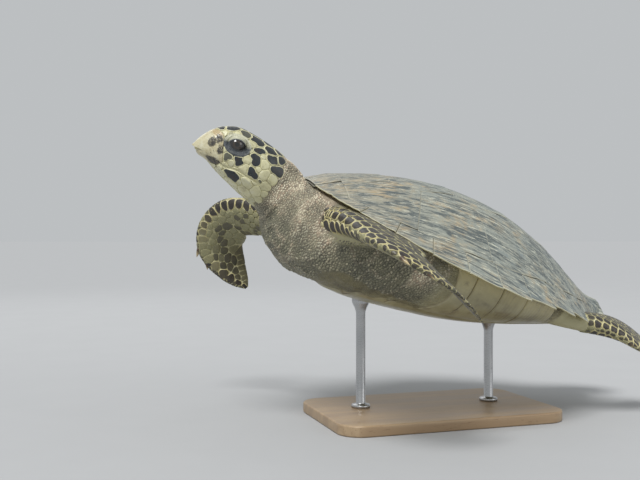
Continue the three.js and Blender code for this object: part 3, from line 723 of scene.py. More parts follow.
class Work:
    """Vertices, faces, a map and per-vertex numbers of one piece, gathered part by part."""

    def __init__(self):
        self.points, self.faces, self.maps, self.fields, self.count = [], [], [], {}, 0

    def add(self, points, faces, corners=(), **fields):
        """faces are groups of equal-sided faces; corners are the places on the map of the corners
        of each group; fields are numbers or places, one for each vertex or one for all."""
        points = np.asarray(points, float).reshape(-1, 3)
        self.faces += [np.asarray(group) + self.count for group in faces]
        self.maps += [places.reshape(-1, 2) for places in corners]
        self.points.append(points)
        for name, values in fields.items():
            values = np.asarray(values, float)
            width = values.shape[-1:] if values.ndim > 1 and values.shape[-1] == 3 else ()
            self.fields.setdefault(name, []).append(
                np.broadcast_to(values.reshape((-1, *width)), (len(points), *width)))
        self.count += len(points)

    def add_tube(self, rings, place=None, **fields):
        """A closed surface over rings, turned outwards; place names the field of its points."""
        shell, faces = tube(rings)
        if place:
            fields[place] = shell
        self.add(shell, outwards(shell, faces, shell.mean(0)), **fields)

    def piece(self, name, material, slot, replaces=(), bake_map=False):
        """The mesh object, riding on the model's one body."""
        mesh = bpy.data.meshes.new(name)
        points = placed(np.concatenate(self.points))
        mesh.vertices.add(len(points))
        mesh.vertices.foreach_set("co", points.astype(np.float32).ravel())
        loops = np.concatenate([f.ravel() for f in self.faces])
        sizes = np.concatenate([np.full(len(f), f.shape[1]) for f in self.faces])
        mesh.loops.add(len(loops))
        mesh.loops.foreach_set("vertex_index", loops.astype(np.int32))
        mesh.polygons.add(len(sizes))
        mesh.polygons.foreach_set("loop_start", (np.cumsum(sizes) - sizes).astype(np.int32))
        mesh.polygons.foreach_set("use_smooth", np.ones(len(sizes), bool))
        mesh.update(calc_edges=True)
        for field, values in self.fields.items():
            values = np.concatenate(values)
            vector = values.ndim == 2
            layer = mesh.attributes.new(field, "FLOAT_VECTOR" if vector else "FLOAT", "POINT")
            layer.data.foreach_set("vector" if vector else "value",
                                   values.astype(np.float32).ravel())
        if bake_map:
            layer = mesh.uv_layers.new(name="OFBake")
            layer.uv.foreach_set("vector", np.concatenate(self.maps).astype(np.float32).ravel())
        mesh.validate()
        piece = bpy.data.objects.new(name, mesh)
        bpy.context.collection.objects.link(piece)
        mesh.materials.append(material)
        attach(piece, "root")
        if replaces:
            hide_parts(*replaces)
        return piece


class Chart:
    """A surface as a table of points over two even parameters a and b, read between its entries
    by straight lines. The outward normal is the cross product of its two slopes, times outward."""

    def __init__(self, a, b, points, outward=1.0):
        self.a, self.b, self.points = a, b, points
        self.along, self.across = np.gradient(points, a, b, axis=(0, 1))
        self.normal = unit(np.cross(self.along, self.across)) * outward

    def read(self, table, a, b):
        """A table's value at a and b: the four entries around it, each weighted by the nearness
        of a and b to it."""
        i = np.clip((a - self.a[0]) / (self.a[1] - self.a[0]), 0, len(self.a) - 1.0001)
        j = np.clip((b - self.b[0]) / (self.b[1] - self.b[0]), 0, len(self.b) - 1.0001)
        p, q = i.astype(int), j.astype(int)
        s, t = (i - p)[..., None], (j - q)[..., None]
        return ((table[p, q] * (1 - s) + table[p + 1, q] * s) * (1 - t)
                + (table[p, q + 1] * (1 - s) + table[p + 1, q + 1] * s) * t)

    def point(self, a, b, height=0.0):
        """Place on the surface, raised by height along its normal."""
        a, b, height = np.broadcast_arrays(a, b, height)
        lift = unit(self.read(self.normal, a, b)) * height[..., None]
        return self.read(self.points, a, b) + lift


def by_arc(section, count):
    """Each row of section is an open line of points; the same lines, with points at even shares
    of their length."""
    step = np.linalg.norm(np.diff(section, axis=1), axis=-1)
    length = np.concatenate([np.zeros((len(section), 1)), np.cumsum(step, 1)], 1)
    share = length / length[:, -1:]
    wanted = np.linspace(0, 1, count)
    return np.stack([np.stack([np.interp(wanted, share[i], section[i, :, axis])
                               for axis in range(3)], -1) for i in range(len(section))])


# ---------------------------------------------------------------- scales as plates

def nearest(places, count):
    """Indices of the nearest others of each place."""
    apart = np.linalg.norm(places[:, None] - places[None], axis=-1)
    np.fill_diagonal(apart, np.inf)
    return np.argsort(apart, axis=1)[:, :min(count, len(places) - 1)]


def cell_radii(offsets, own, others, angles, reach, steps=44, allowed=None):
    """Distance from each seed to the edge of its cell in each direction. A seed's cell is what
    lies nearer to it than to any other, each seed measuring distance in its own ellipse (half
    lengths and lean); the edge is the first step outwards where another seed is nearer, or where
    allowed(seed offsets) says no."""
    def far(x, form):
        """Distance along and across the form's lean, each over its half length."""
        c, s = np.cos(form[..., 2])[..., None, None], np.sin(form[..., 2])[..., None, None]
        along, side = x[..., 0] * c + x[..., 1] * s, x[..., 1] * c - x[..., 0] * s
        return np.hypot(along / form[..., 0][..., None, None], side / form[..., 1][..., None, None])

    way = towards(angles)
    share = np.arange(1, steps + 1) / steps
    radii = np.empty((len(own), len(angles)))
    for i in range(len(own)):
        x = way[:, None] * (share * reach[i])[None, :, None]
        mine = far(x, own[i])
        theirs = far(x[None] - offsets[i][:, None, None], others[i]).min(0)
        out = theirs < mine
        if allowed is not None:
            out |= ~allowed(i, x)
        first = np.where(out.any(1), out.argmax(1), steps - 1)
        radii[i] = share[first] * reach[i]
    return radii


def lone_radii(angles, reach, steps, allowed):
    """The same for one seed that has no neighbours."""
    alike = np.array([[1.0, 1.0, 0.0]])
    none_near = np.array([[[FAR_AWAY, 0.0]]])
    return cell_radii(none_near, alike, alike[None], angles, np.array([reach]), steps, allowed)


def rounded_off(radii, spread):
    """Each row of radii, smoothed round the circle with bell weights of that many steps."""
    k = np.arange(-int(3 * spread), int(3 * spread) + 1)
    weight = np.exp(-(k / spread) ** 2)
    weight /= weight.sum()
    return sum(np.roll(radii, step, axis=1) * w for step, w in zip(k, weight))


# Rings of a plate: share of the way to its edge, share of its height.
SCALE_RINGS = [(0.0, 1.0), (0.35, 1.0), (0.62, 0.97), (0.8, 0.88), (0.91, 0.66), (0.98, 0.3),
               (1.0, -0.25)]
# Where the map keeps the sides that lie in the skin, and how large they are there.
HIDDEN_SPOT, HIDDEN_SIZE = np.array([0.003, 0.003]), 0.0015


def scales(work, chart, seeds, form, gap, height, rounds, tone, kind=0.0, border=1.0, sides=24,
           spread=1.3, depth=1.2, rings=SCALE_RINGS, neighbours=14, allowed=None):
    """Closed plates over a chart. seeds are (a, b); form holds each plate's half lengths and lean;
    rounds is how far a plate reaches when no other stands in its way, as a share of its longer
    half length. A plate's edge is its cell's, less half the gap, and its rings rise from
    the skin by the shares of height in rings; below the edge it is closed under the skin."""
    seeds, form = np.asarray(seeds, float), np.asarray(form, float)
    count = len(seeds)
    a, b = seeds.T
    at = chart.point(a, b)
    first = unit(chart.read(chart.along, a, b))
    up = unit(chart.read(chart.normal, a, b))
    second = unit(np.cross(up, first))
    slopes = np.stack([chart.read(chart.along, a, b), chart.read(chart.across, a, b)], -1)
    local = np.einsum("nki,nij->nkj", np.stack([first, second], 1), slopes)
    back = np.linalg.inv(local)
    others = nearest(at, neighbours)
    run = at[others] - at[:, None]
    flat = np.stack([(run * first[:, None]).sum(-1), (run * second[:, None]).sum(-1)], -1)
    flat_length = np.maximum(np.linalg.norm(flat, axis=-1), 1e-6)
    flat *= (np.linalg.norm(run, axis=-1) / flat_length)[..., None]
    opposite = (up[others] * up[:, None]).sum(-1) < -0.3
    flat[opposite] = FAR_AWAY
    angles = circle(sides)
    reach = form[:, :2].max(1) * rounds
    clear = None if allowed is None else lambda i, x: allowed(*np.moveaxis(
        seeds[i] + x @ back[i].T, -1, 0))
    radii = cell_radii(flat, form, form[others], angles, reach, allowed=clear)
    radii = np.maximum(rounded_off(radii, spread) - gap / 2, 0.25 * form[:, :2].min(1)[:, None])
    share = np.array([r for r, _ in rings])
    lift = np.array([h for _, h in rings])
    way = towards(angles)
    tall = np.broadcast_to(height, count)
    span_a, span_b = np.ptp(chart.a), np.ptp(chart.b)
    tones = np.broadcast_to(tone, count)
    kinds, borders = np.broadcast_to(kind, count), np.broadcast_to(border, count)
    for i in range(count):
        inner = share[1:, None, None] * radii[i][None, :, None] * way[None]
        flat_xy = np.concatenate([[[0, 0]], inner.reshape(-1, 2)])
        ab = seeds[i] + flat_xy @ back[i].T
        rise = np.concatenate([[lift[0]], np.repeat(lift[1:], sides)]) * tall[i]
        top = chart.point(ab[:, 0], ab[:, 1], rise)
        foot = chart.point(ab[-sides:, 0], ab[-sides:, 1], -depth)
        middle = chart.point(a[i], b[i], -depth)
        points = np.concatenate([top, foot, middle[None]])
        last = 1 + sides * (len(share) - 1)
        faces = [fan(0, np.arange(1, 1 + sides)),
                 grid_quads(len(share), sides, closed=True, start=1)[:, ::-1],
                 fan(last + sides, np.arange(last, last + sides), flip=True)]
        edge = np.concatenate([[radii[i].mean()],
                               ((1 - share[1:, None]) * radii[i][None]).ravel(),
                               np.zeros(sides + 1)])
        map_ab = np.concatenate([ab, ab[-sides:], seeds[i][None]])
        on_map = 0.02 + 0.96 * (map_ab - [chart.a[0], chart.b[0]]) / [span_a, span_b]
        under = np.concatenate([HIDDEN_SPOT + HIDDEN_SIZE * way, [HIDDEN_SPOT]])
        corners = [on_map[faces[0]], on_map[faces[1]], under[faces[2] - last]]
        work.add(points, faces, corners, body=points, edge=edge, tone=tones[i], kind=kinds[i],
                 border=borders[i])


# ---------------------------------------------------------------- the shell's surface

rim_height = curve([(0, 0), (0.1, -8), (0.3, -21), (0.5, -26), (0.7, -23), (0.85, -25),
                    (0.93, -28), (0.97, -21), (1, -9)])
keel_height = curve([(0, 0), (0.04, 16), (0.1, 34), (0.2, 56), (0.33, 75), (0.47, 81), (0.6, 73),
                     (0.72, 53), (0.83, 27), (0.9, 11), (0.95, 4), (1, 3)])


PLAN_PEAK = 0.4659                   # the largest value of t^0.42 (1 - t)^0.75


def half_width(t):
    """Half the shell's width in plan at a share t of its length: t^0.42 (1 - t)^0.75 over the
    largest value of that, times the shell's half width."""
    return HALF_WIDTH * np.maximum(t, 1e-6) ** 0.42 * np.clip(1 - t, 0, 1) ** 0.75 / PLAN_PEAK


def side_share(x, y):
    """Share of the way from the middle line to the rim, measured over 16 mm at the shell's ends."""
    return np.abs(y) / np.maximum(half_width(x / LENGTH), 16)


def dome(x, y):
    """Height of the shell's outside over its plan: from rim to keel by a blend of a parabola and
    a bell across the width, with the rear edge skewed."""
    t = x / LENGTH
    v = np.minimum(1.25, side_share(x, y))
    across = 0.6 * (1 - v * v) + 0.4 * (1 + np.cos(np.pi * np.minimum(v, 1) ** 1.25)) / 2
    skew = REAR_TWIST * y * np.clip((t - 0.85) / 0.15, 0, 1) ** 2
    return rim_height(t) + (keel_height(t) - rim_height(t)) * across + skew


def rim_thickness(x, y):
    """Thickness of the shell's horn: it thins from the middle line to the rim by the fourth power
    of the share of the way."""
    v = np.minimum(1, side_share(x, y))
    return RIM + (PLATE - RIM) * (1 - v**4)


def inner_half(x):
    """Half width inside the marginal plates."""
    t = x / LENGTH
    return np.maximum(half_width(t) - RIM_BAND * (0.75 + 0.25 * np.sin(np.pi * t)), 6)


# ---------------------------------------------------------------- the trunk's surface

chest_depth = curve([(-46, 92), (-30, 118), (0, 133), (34, 146), (72, 147), (120, 147),
                     (210, 135), (270, 125), (330, 110), (420, 83), (510, 54), (545, 42),
                     (575, 33), (590, 28)])
trunk_half = curve([(-46, 36), (-30, 58), (0, 96), (34, 140), (72, 158), (126, 186), (216, 198),
                    (330, 178), (420, 138), (500, 92), (560, 50), (590, 24)])
shoulder_middle = curve([(-46, -36), (0, -50), (60, -38), (300, -34), (590, -30)])
shoulder_top = curve([(-46, -18), (-14, -9), (0, -4), (12, 6), (40, 24), (90, 34), (590, 34)])
TRUNK_POWER = 2.4


def rounded(angle, power):
    """Unit section at an angle: an ellipse at power 2, squarer above it."""
    c, s = np.cos(angle), np.sin(angle)
    return (np.sign(c) * np.abs(c) ** (2 / power), np.sign(s) * np.abs(s) ** (2 / power))


def trunk_section(x, angle):
    """Places round the trunk: at each station a squarish half oval above its widest height and a
    deeper one below. Angle 0 is the animal's right side, a quarter turn is up."""
    across, up = rounded(angle, TRUNK_POWER)
    middle = shoulder_middle(x)
    reach = np.where(up > 0, shoulder_top(x) - middle, chest_depth(x) + middle)
    return np.stack(np.broadcast_arrays(x, trunk_half(x) * across, middle + reach * up), -1)


def trunk_under(x, y):
    """Height of the trunk's underside over its plan."""
    middle = shoulder_middle(x)
    across = np.minimum(1, np.abs(y) / trunk_half(x))
    return middle - (chest_depth(x) + middle) * (1 - across**TRUNK_POWER) ** (1 / TRUNK_POWER)


# ---------------------------------------------------------------- head and neck

crown = curve([(0, 5), (3, 16), (8, 28), (15, 40), (24, 50), (46, 62.5), (77, 66), (112, 66),
               (138, 63), (162, 58), (186, 48), (228, 34)])
throat = curve([(0, -6), (12, -7), (28, -7.5), (46, -13), (66, -18), (95, -24), (123, -29),
                (155, -38), (180, -62), (210, -80), (236, -88)])
cheek = curve([(0, 3), (4, 8), (12, 14), (26, 23), (45, 33), (62, 39), (85, 43.5), (108, 45),
               (132, 42.5), (156, 44), (180, 55), (205, 74), (236, 84)])
mouth_line = curve([(0, -1.5), (6, 0.5), (14, 1.6), (26, 2.6), (37, 2.6), (46, 0), (54, -1),
                    (62, 2), (72, 5), (92, 5.5), (112, 6.5)])
HEAD_POWER, HEAD_WIDEST, COAT = 2.25, 0.42, 0.8


def head_section(u, angle):
    """u, v and w round the head and neck; angle 0 is the animal's right side, a quarter turn up."""
    across, up = rounded(angle, HEAD_POWER)
    widest = throat(u) + (crown(u) - throat(u)) * HEAD_WIDEST
    reach = np.where(up > 0, crown(u) - widest, widest - throat(u))
    return np.stack(np.broadcast_arrays(u, cheek(u) * across, widest + reach * up), -1)


def orbit_place(u, w):
    """Place on the side of the head relative to the eye, along and across its slanting opening."""
    du, dw = u - EYE["u"], w - EYE["w"] - ORBIT_RISE
    c, s = math.cos(ORBIT_LEAN), math.sin(ORBIT_LEAN)
    return du * c + dw * s, dw * c - du * s


def head_forms(u, v, w):
    """Small forms of the head as a height along its normal: the bulge of the lids, the hollow
    before them, the temple, the jaw muscle and the groove of the closed mouth."""
    x, y = orbit_place(u, w)
    side = ease(np.abs(v), 6, 16)
    orbit = 3.6 * np.exp(-((np.hypot(x / 19, y / 14)) ** 4))
    hollow = -1.4 * bump(x, -22, 6) * bump(y, -2, 12)
    temple = -1.6 * bump(u, 84, 13) * bump(w, 50, 9)
    muscle = 2.0 * bump(u, 98, 20) * bump(w, 14, 14)
    groove = -2.2 * bump(w, mouth_line(u), 2.0) * ease(u, 34, 46) * (1 - ease(u, 108, 116))
    lip = 0.9 * bump(w, mouth_line(u) - 5, 3.2) * ease(u, 40, 56) * (1 - ease(u, 96, 112))
    return side * (orbit + hollow + temple + muscle + groove + lip)


def head_chart(start, end, rows=150, columns=241):
    """The head's surface over u and the share of the way round it from the crown: positive on the
    animal's left, negative on its right, 1 under the chin."""
    u = np.linspace(start, end, rows)
    angle = np.linspace(np.pi / 2, -np.pi / 2, 361)
    right = by_arc(head_section(u[:, None], angle[None]), columns // 2 + 1)
    left = right * [1, -1, 1]
    both = np.concatenate([right[:, ::-1], left[:, 1:]], 1)
    chart = Chart(u, np.linspace(-1, 1, both.shape[1]), head_point(*np.moveaxis(both, -1, 0)), -1.0)
    forms = head_forms(*np.moveaxis(both, -1, 0))
    return Chart(chart.a, chart.b, chart.points + chart.normal * forms[..., None], -1.0)


def head_seed(u, w, side):
    """Chart place of a point given by u and w on one side of the head (1 left, -1 right)."""
    angle = np.linspace(np.pi / 2, -np.pi / 2, 721)
    line = head_section(np.full(721, float(u)), angle)
    step = np.concatenate([[0], np.cumsum(np.linalg.norm(np.diff(line, axis=0), axis=1))])
    share = np.interp(-w, -line[:, 2], step / step[-1])
    return float(u), side * share


# ---------------------------------------------------------------- flippers

# Over the share of a flipper's length: millimetres from its spine to its leading and trailing
# edges, and half its thickness. A claw is its share, length and radius.
FRONT = {
    "lead": curve([(0, 28), (0.2, 33), (0.4, 46), (0.52, 51), (0.66, 43), (0.8, 31), (0.92, 18),
                   (1, 4)]),
    "trail": curve([(0, 28), (0.25, 32), (0.5, 43), (0.68, 40), (0.84, 28), (0.94, 16), (1, 4)]),
    "thick": curve([(0, 23), (0.2, 19), (0.4, 14), (0.6, 8), (0.8, 4), (1, 1.2)]),
    "claws": [(0.61, 14, 5), (0.69, 8, 3.5)],
}
HIND = {
    "lead": curve([(0, 24), (0.3, 24), (0.55, 36), (0.75, 42), (0.9, 32), (1, 8)]),
    "trail": curve([(0, 24), (0.3, 24), (0.55, 36), (0.75, 46), (0.9, 40), (1, 10)]),
    "thick": curve([(0, 20), (0.3, 17), (0.55, 11), (0.8, 6), (1, 1.5)]),
    "claws": [(0.62, 10, 4), (0.72, 7, 3.2)],
}
# Each flipper's form, the points of its spine, and the way to its leading edge at each of them.
LIMBS = {
    "front_left": (FRONT, [(36, -100, -40), (54, -150, -29), (78, -213, -27), (103, -283, -31),
                           (160, -300, -47), (250, -264, -81)],
                   [(-0.9, -0.4, -0.1), (-0.9, -0.4, -0.12), (-0.85, -0.5, -0.14),
                    (-0.55, -0.82, -0.13), (0.1, -0.99, -0.1), (0.3, -0.95, -0.05)]),
    "front_right": (FRONT, [(38, 102, -50), (4, 166, -98), (-44, 230, -134), (-41, 250, -187),
                            (-6, 248, -222), (34, 236, -245)],
                    [(-0.75, 0.15, 0.6), (-0.6, 0.1, 0.8), (-0.92, 0.1, 0.4),
                     (-0.96, -0.05, -0.2), (-0.8, -0.15, -0.5), (-0.6, -0.2, -0.7)]),
    "hind_left": (HIND, [(430, -70, -48), (500, -88, -38), (575, -92, -25), (622, -90, -28),
                         (692, -80, -37)],
                  [(-0.3, -0.9, -0.1), (-0.1, -0.95, -0.2), (0, -0.94, -0.33), (0, -0.94, -0.33),
                   (0.1, -0.94, -0.33)]),
    "hind_right": (HIND, [(430, 70, -50), (500, 86, -42), (588, 76, -34), (684, 56, -34)],
                   [(-0.3, 0.9, -0.15), (-0.1, 0.97, -0.17), (0, 0.98, -0.17), (0.1, 0.98, -0.17)]),
}


def spline(points):
    """Smooth curve through points, at even steps of its parameter from point to point: centripetal
    Catmull-Rom, with each end continued straight on."""
    p = np.array(points, float)
    p = np.concatenate([[2 * p[0] - p[1]], p, [2 * p[-1] - p[-2]]])

    def read(s):
        """The place at a share s of the way."""
        at = np.clip(np.asarray(s, float), 0, 1) * (len(points) - 1)
        i = np.minimum(at.astype(int), len(points) - 2)
        f = (at - i)[..., None]
        p0, p1, p2, p3 = (p[i + k] for k in range(4))
        d0, d1, d2 = (np.maximum(np.linalg.norm(b - a, axis=-1, keepdims=True), 1e-6) ** 0.5
                      for a, b in ((p0, p1), (p1, p2), (p2, p3)))
        start = ((p1 - p0) / d0 - (p2 - p0) / (d0 + d1) + (p2 - p1) / d1) * d1
        end = ((p2 - p1) / d1 - (p3 - p1) / (d1 + d2) + (p3 - p2) / d2) * d1
        return (p1 + start * f + (3 * (p2 - p1) - 2 * start - end) * f**2
                + (2 * (p1 - p2) + start + end) * f**3)
    return read


def limb_frame(limb, s):
    """Place, direction, leading-edge direction and upper side of a limb along its spine."""
    _, spine, edge = LIMBS[limb]
    spine, edge = spline(spine), spline(edge)
    step = 1e-4
    along = unit(spine(np.minimum(s + step, 1)) - spine(np.maximum(s - step, 0)))
    lead = edge(s)
    lead = unit(lead - (lead * along).sum(-1, keepdims=True) * along)
    return spine(s), along, lead, np.cross(along, lead)


def limb_section(limb, s, angle, grow=0.0):
    """Rings of a flipper: a flat oval from its leading edge (angle 0) over its upper side, with
    more of its thickness near the leading edge."""
    form = LIMBS[limb][0]
    at, _, lead, up = limb_frame(limb, s)
    ahead, behind = form["lead"](s) + grow, form["trail"](s) + grow
    c, bulge = np.cos(angle), np.sin(angle) * (1 + 0.3 * np.cos(angle))
    across = ((ahead - behind) / 2)[:, None] + ((ahead + behind) / 2)[:, None] * c
    thick = (form["thick"](s) + grow)[:, None] * bulge
    return at[:, None] + lead[:, None] * across[..., None] + up[:, None] * thick[..., None]


def limb_chart(limb, grow, rows=181, columns=161):
    """A flipper's surface over s and the share of the way round it from the leading edge: positive
    on its upper side, negative below, 1 at the trailing edge."""
    s = np.linspace(0, 1, rows)
    angle = np.linspace(0, np.pi, 241)
    top = by_arc(limb_section(limb, s, angle, grow), columns // 2 + 1)
    low = by_arc(limb_section(limb, s, -angle, grow), columns // 2 + 1)
    both = np.concatenate([low[:, ::-1], top[:, 1:]], 1)
    return Chart(s, np.linspace(-1, 1, both.shape[1]), both, -1.0)


# ---------------------------------------------------------------- scattering

def near_pairs(points, reach):
    """All ordered pairs of points nearer than reach, found through a grid of cells that wide."""
    cell = np.floor(points / reach).astype(np.int64)
    cell -= cell.min(0) - 1
    span = 4099                      # more cells than there are along any axis
    key_of = lambda c: (c[..., 0] * span + c[..., 1]) * span + c[..., 2]
    key = key_of(cell)
    order = np.argsort(key, kind="stable")
    ranked = key[order]
    left, right = [], []
    for step in np.ndindex(3, 3, 3):
        wanted = key_of(cell + np.array(step) - 1)
        low = np.searchsorted(ranked, wanted, "left")
        count = np.searchsorted(ranked, wanted, "right") - low
        owner = np.repeat(np.arange(len(points)), count)
        within = np.arange(count.sum()) - np.repeat(np.cumsum(count) - count, count)
        left.append(owner)
        right.append(order[np.repeat(low, count) + within])
    left, right = np.concatenate(left), np.concatenate(right)
    keep = (left != right) & (np.linalg.norm(points[left] - points[right], axis=1) < reach)
    return left[keep], right[keep]


def thinned(points, spacing, rank):
    """Which points stay so that none is nearer to another than the mean of their spacings. In
    each round, of 60 at most, a point stays if it has the highest rank of those left near it."""
    one, other = near_pairs(points, float(np.max(spacing)))
    apart = np.linalg.norm(points[one] - points[other], axis=1)
    close = apart < (spacing[one] + spacing[other]) / 2
    one, other = one[close], other[close]
    state = np.zeros(len(points), int)
    for _ in range(60):
        open_pair = (state[one] == 0) & (state[other] == 0)
        one, other = one[open_pair], other[open_pair]
        best = np.full(len(points), -np.inf)
        np.maximum.at(best, one, rank[other])
        chosen = (state == 0) & (rank > best)
        state[chosen] = 1
        state[other[chosen[one]]] = -1
        if not (state == 0).any():
            break
    return np.flatnonzero(state == 1)


# ---------------------------------------------------------------- the skin

STUB_FULL, STUB_END = 0.26, 0.42     # a flipper's root is part of the joined skin up to here
TRUNK_INSET, SKIN_FINENESS = 1.4, 3.0
AXILLA = (176.0, -52.0)              # the pale patch behind the front flippers: x and z


def beak_back(share):
    """How far back the horn of the upper beak reaches (u), from the crown (0) to the mouth (1)."""
    return BEAK_BACK(np.abs(share))


BEAK_BACK = curve([(0, 14), (0.2, 19), (0.45, 30), (0.7, 37), (0.88, 45), (1, 50)])


def skin_shells():
    """The closed surfaces that the skin is drawn round: head and neck, trunk, tail and the roots
    of the flippers, each a little inside its own scales."""
    chart = head_chart(0.5, 150, rows=120, columns=181)
    rings = chart.point(*np.meshgrid(chart.a, chart.b[:-1], indexing="ij"), -0.5)
    u, v, w = head_place(rings)
    share = np.broadcast_to(chart.b[:-1], u.shape)
    mouth_share = np.array([head_seed(x, mouth_line(x), 1)[1] for x in chart.a])[:, None]
    under_beak = 1 - ease(u, beak_back(np.minimum(1, np.abs(share) / mouth_share)) - 6,
                          beak_back(np.minimum(1, np.abs(share) / mouth_share)) - 1)
    x, y = orbit_place(u, w)
    socket = (1 - ease(np.hypot(x / ORBIT[0], y / ORBIT[1]), 0.74, 0.99)) * ease(np.abs(v), 8, 14)
    sink = 2.2 * under_beak + 9.0 * socket
    rings = rings - chart.normal[:, :-1] * sink[..., None]
    angle = np.linspace(0, TAU, 181)[:-1]
    yield tube(rings)
    yield tube(head_neck_rings())
    x = np.linspace(-46, 586, 120)
    trunk = trunk_section(x[:, None], angle[None])
    middle = trunk.mean(1, keepdims=True)
    size = np.linalg.norm((trunk - middle)[..., 1:], axis=-1, keepdims=True)
    yield tube(middle + (trunk - middle) * (1 - TRUNK_INSET / np.maximum(size, 10)))
    for limb in LIMBS:
        s = np.linspace(0, STUB_END, 50)
        chart = limb_chart(limb, -COAT)
        sink = 3.5 * ease(s, STUB_FULL, STUB_END)
        grid = np.meshgrid(s, chart.b[:-1], indexing="ij")
        yield tube(chart.point(*grid, -1.0 - sink[:, None]))
    s = np.linspace(0, 1, 24)
    half = 16 * (1 - s) ** 0.7 + 2
    ring = np.stack([np.broadcast_to(550 + 70 * s[:, None], (24, 40)),
                     half[:, None] * np.cos(angle[None, :40] * 4.5),
                     -34 + 0.7 * half[:, None] * np.sin(angle[None, :40] * 4.5)], -1)
    yield tube(ring)


def head_neck_rings():
    """The neck and the back of the head, as far as they lie inside the trunk."""
    u = np.linspace(120, 236, 90)
    angle = np.linspace(0, TAU, 181)[:-1]
    section = head_section(u[:, None], angle[None])
    grown = 1 - 0.5 / np.maximum(np.linalg.norm(section[..., 1:], axis=-1, keepdims=True), 1)
    section = np.concatenate([section[..., :1], section[..., 1:] * grown], -1)
    return head_point(*np.moveaxis(section, -1, 0))


def drawn_round(shells, fineness):
    """Vertices, quads and edges of one surface drawn round closed surfaces, with quads about that
    many millimetres wide."""
    points, faces, count = [], [], 0
    for shell, groups in shells:
        points.append(shell)
        faces += [group + count for group in groups]
        count += len(shell)
    mesh = bpy.data.meshes.new("drawn_round")
    mesh.from_pydata(np.concatenate(points) * MILLI, [],
                     [face for group in faces for face in group.tolist()])
    holder = bpy.data.objects.new("drawn_round", mesh)
    bpy.context.collection.objects.link(holder)
    remesh = holder.modifiers.new("remesh", "REMESH")
    remesh.mode, remesh.voxel_size = "VOXEL", fineness * MILLI
    bpy.context.view_layer.update()
    evaluated = holder.evaluated_get(bpy.context.evaluated_depsgraph_get())
    made = evaluated.to_mesh()
    place = np.empty(len(made.vertices) * 3, np.float32)
    made.vertices.foreach_get("co", place)
    corner = np.empty(len(made.loops), np.int32)
    made.loops.foreach_get("vertex_index", corner)
    edge = np.empty(len(made.edges) * 2, np.int32)
    made.edges.foreach_get("vertices", edge)
    evaluated.to_mesh_clear()
    bpy.data.objects.remove(holder)
    bpy.data.meshes.remove(mesh)
    return place.reshape(-1, 3).astype(float) * 1000, corner.reshape(-1, 4), edge.reshape(-1, 2)


def smoothed(points, edges, rounds, strength):
    """Each vertex moved towards the mean of its neighbours by its own share of the way."""
    one, other = np.concatenate([edges, edges[:, ::-1]]).T
    count = np.maximum(np.bincount(one, minlength=len(points)), 1)[:, None]
    for _ in range(rounds):
        mean = np.stack([np.bincount(one, points[other, axis], len(points))
                         for axis in range(3)], -1) / count
        points = points + (mean - points) * strength
    return points


def zones(points):
    """How much each place of the skin belongs to the granular neck and shoulders, and how much to
    the smooth flank behind the front flippers; both fade into their neighbours unevenly."""
    u, _, w = head_place(points)
    x = points[:, 0]
    fray = 7 * noise(points, 16, 5)
    rise = 0.35 * np.clip(w - 20, -40, 40)
    neck = ease(u + fray + rise * 0.4, 112, 134)
    flank = ease(x + 1.6 * fray, 180, 236)
    return neck * (1 - flank), flank


def fold_crests(points):
    """How near the crest of a fold of the loose skin each place is: one less twice the size of a
    noise that is drawn out along the body's girth."""
    u, v, w = head_place(points)
    girth = np.stack([u / 13, v / 38, w / 38], -1)
    return 1 - np.abs(noise(girth, 1.0, 11)) * 2


def folded(points, grain, flank):
    """Height of the folds and wrinkles of the loose skin: the folds' crests on the neck and the
    shoulders, finer wrinkles across them, and soft swellings everywhere."""
    loose = fold_crests(points)
    fine = 1 - np.abs(noise(points / [5, 8, 6], 1.0, 13)) * 2
    soft = layered(points, 46, 17, 2)
    return grain * (2.3 * loose + 0.5 * fine) + 0.8 * soft * (grain + 0.5 * flank)


def limb_nearness(points):
    """For each point, how far out it is from the nearest flipper's middle, as a share of that
    flipper's own half width and thickness there, and its share along the flipper."""
    best, share = np.full(len(points), np.inf), np.zeros(len(points))
    s = np.linspace(0, 1, 41)
    for limb in LIMBS:
        form = LIMBS[limb][0]
        at, along, lead, up = limb_frame(limb, s)
        for k in range(len(s)):
            away = points - at[k]
            across = away @ lead[k] / np.where(away @ lead[k] > 0, form["lead"](s[k]),
                                               form["trail"](s[k]))
            far = np.sqrt(across**2 + (away @ up[k] / (form["thick"](s[k]) + 3)) ** 2
                          + (away @ along[k] / 14) ** 2)
            nearer = far < best
            best[nearer], share[nearer] = far[nearer], s[k]
    return best, share


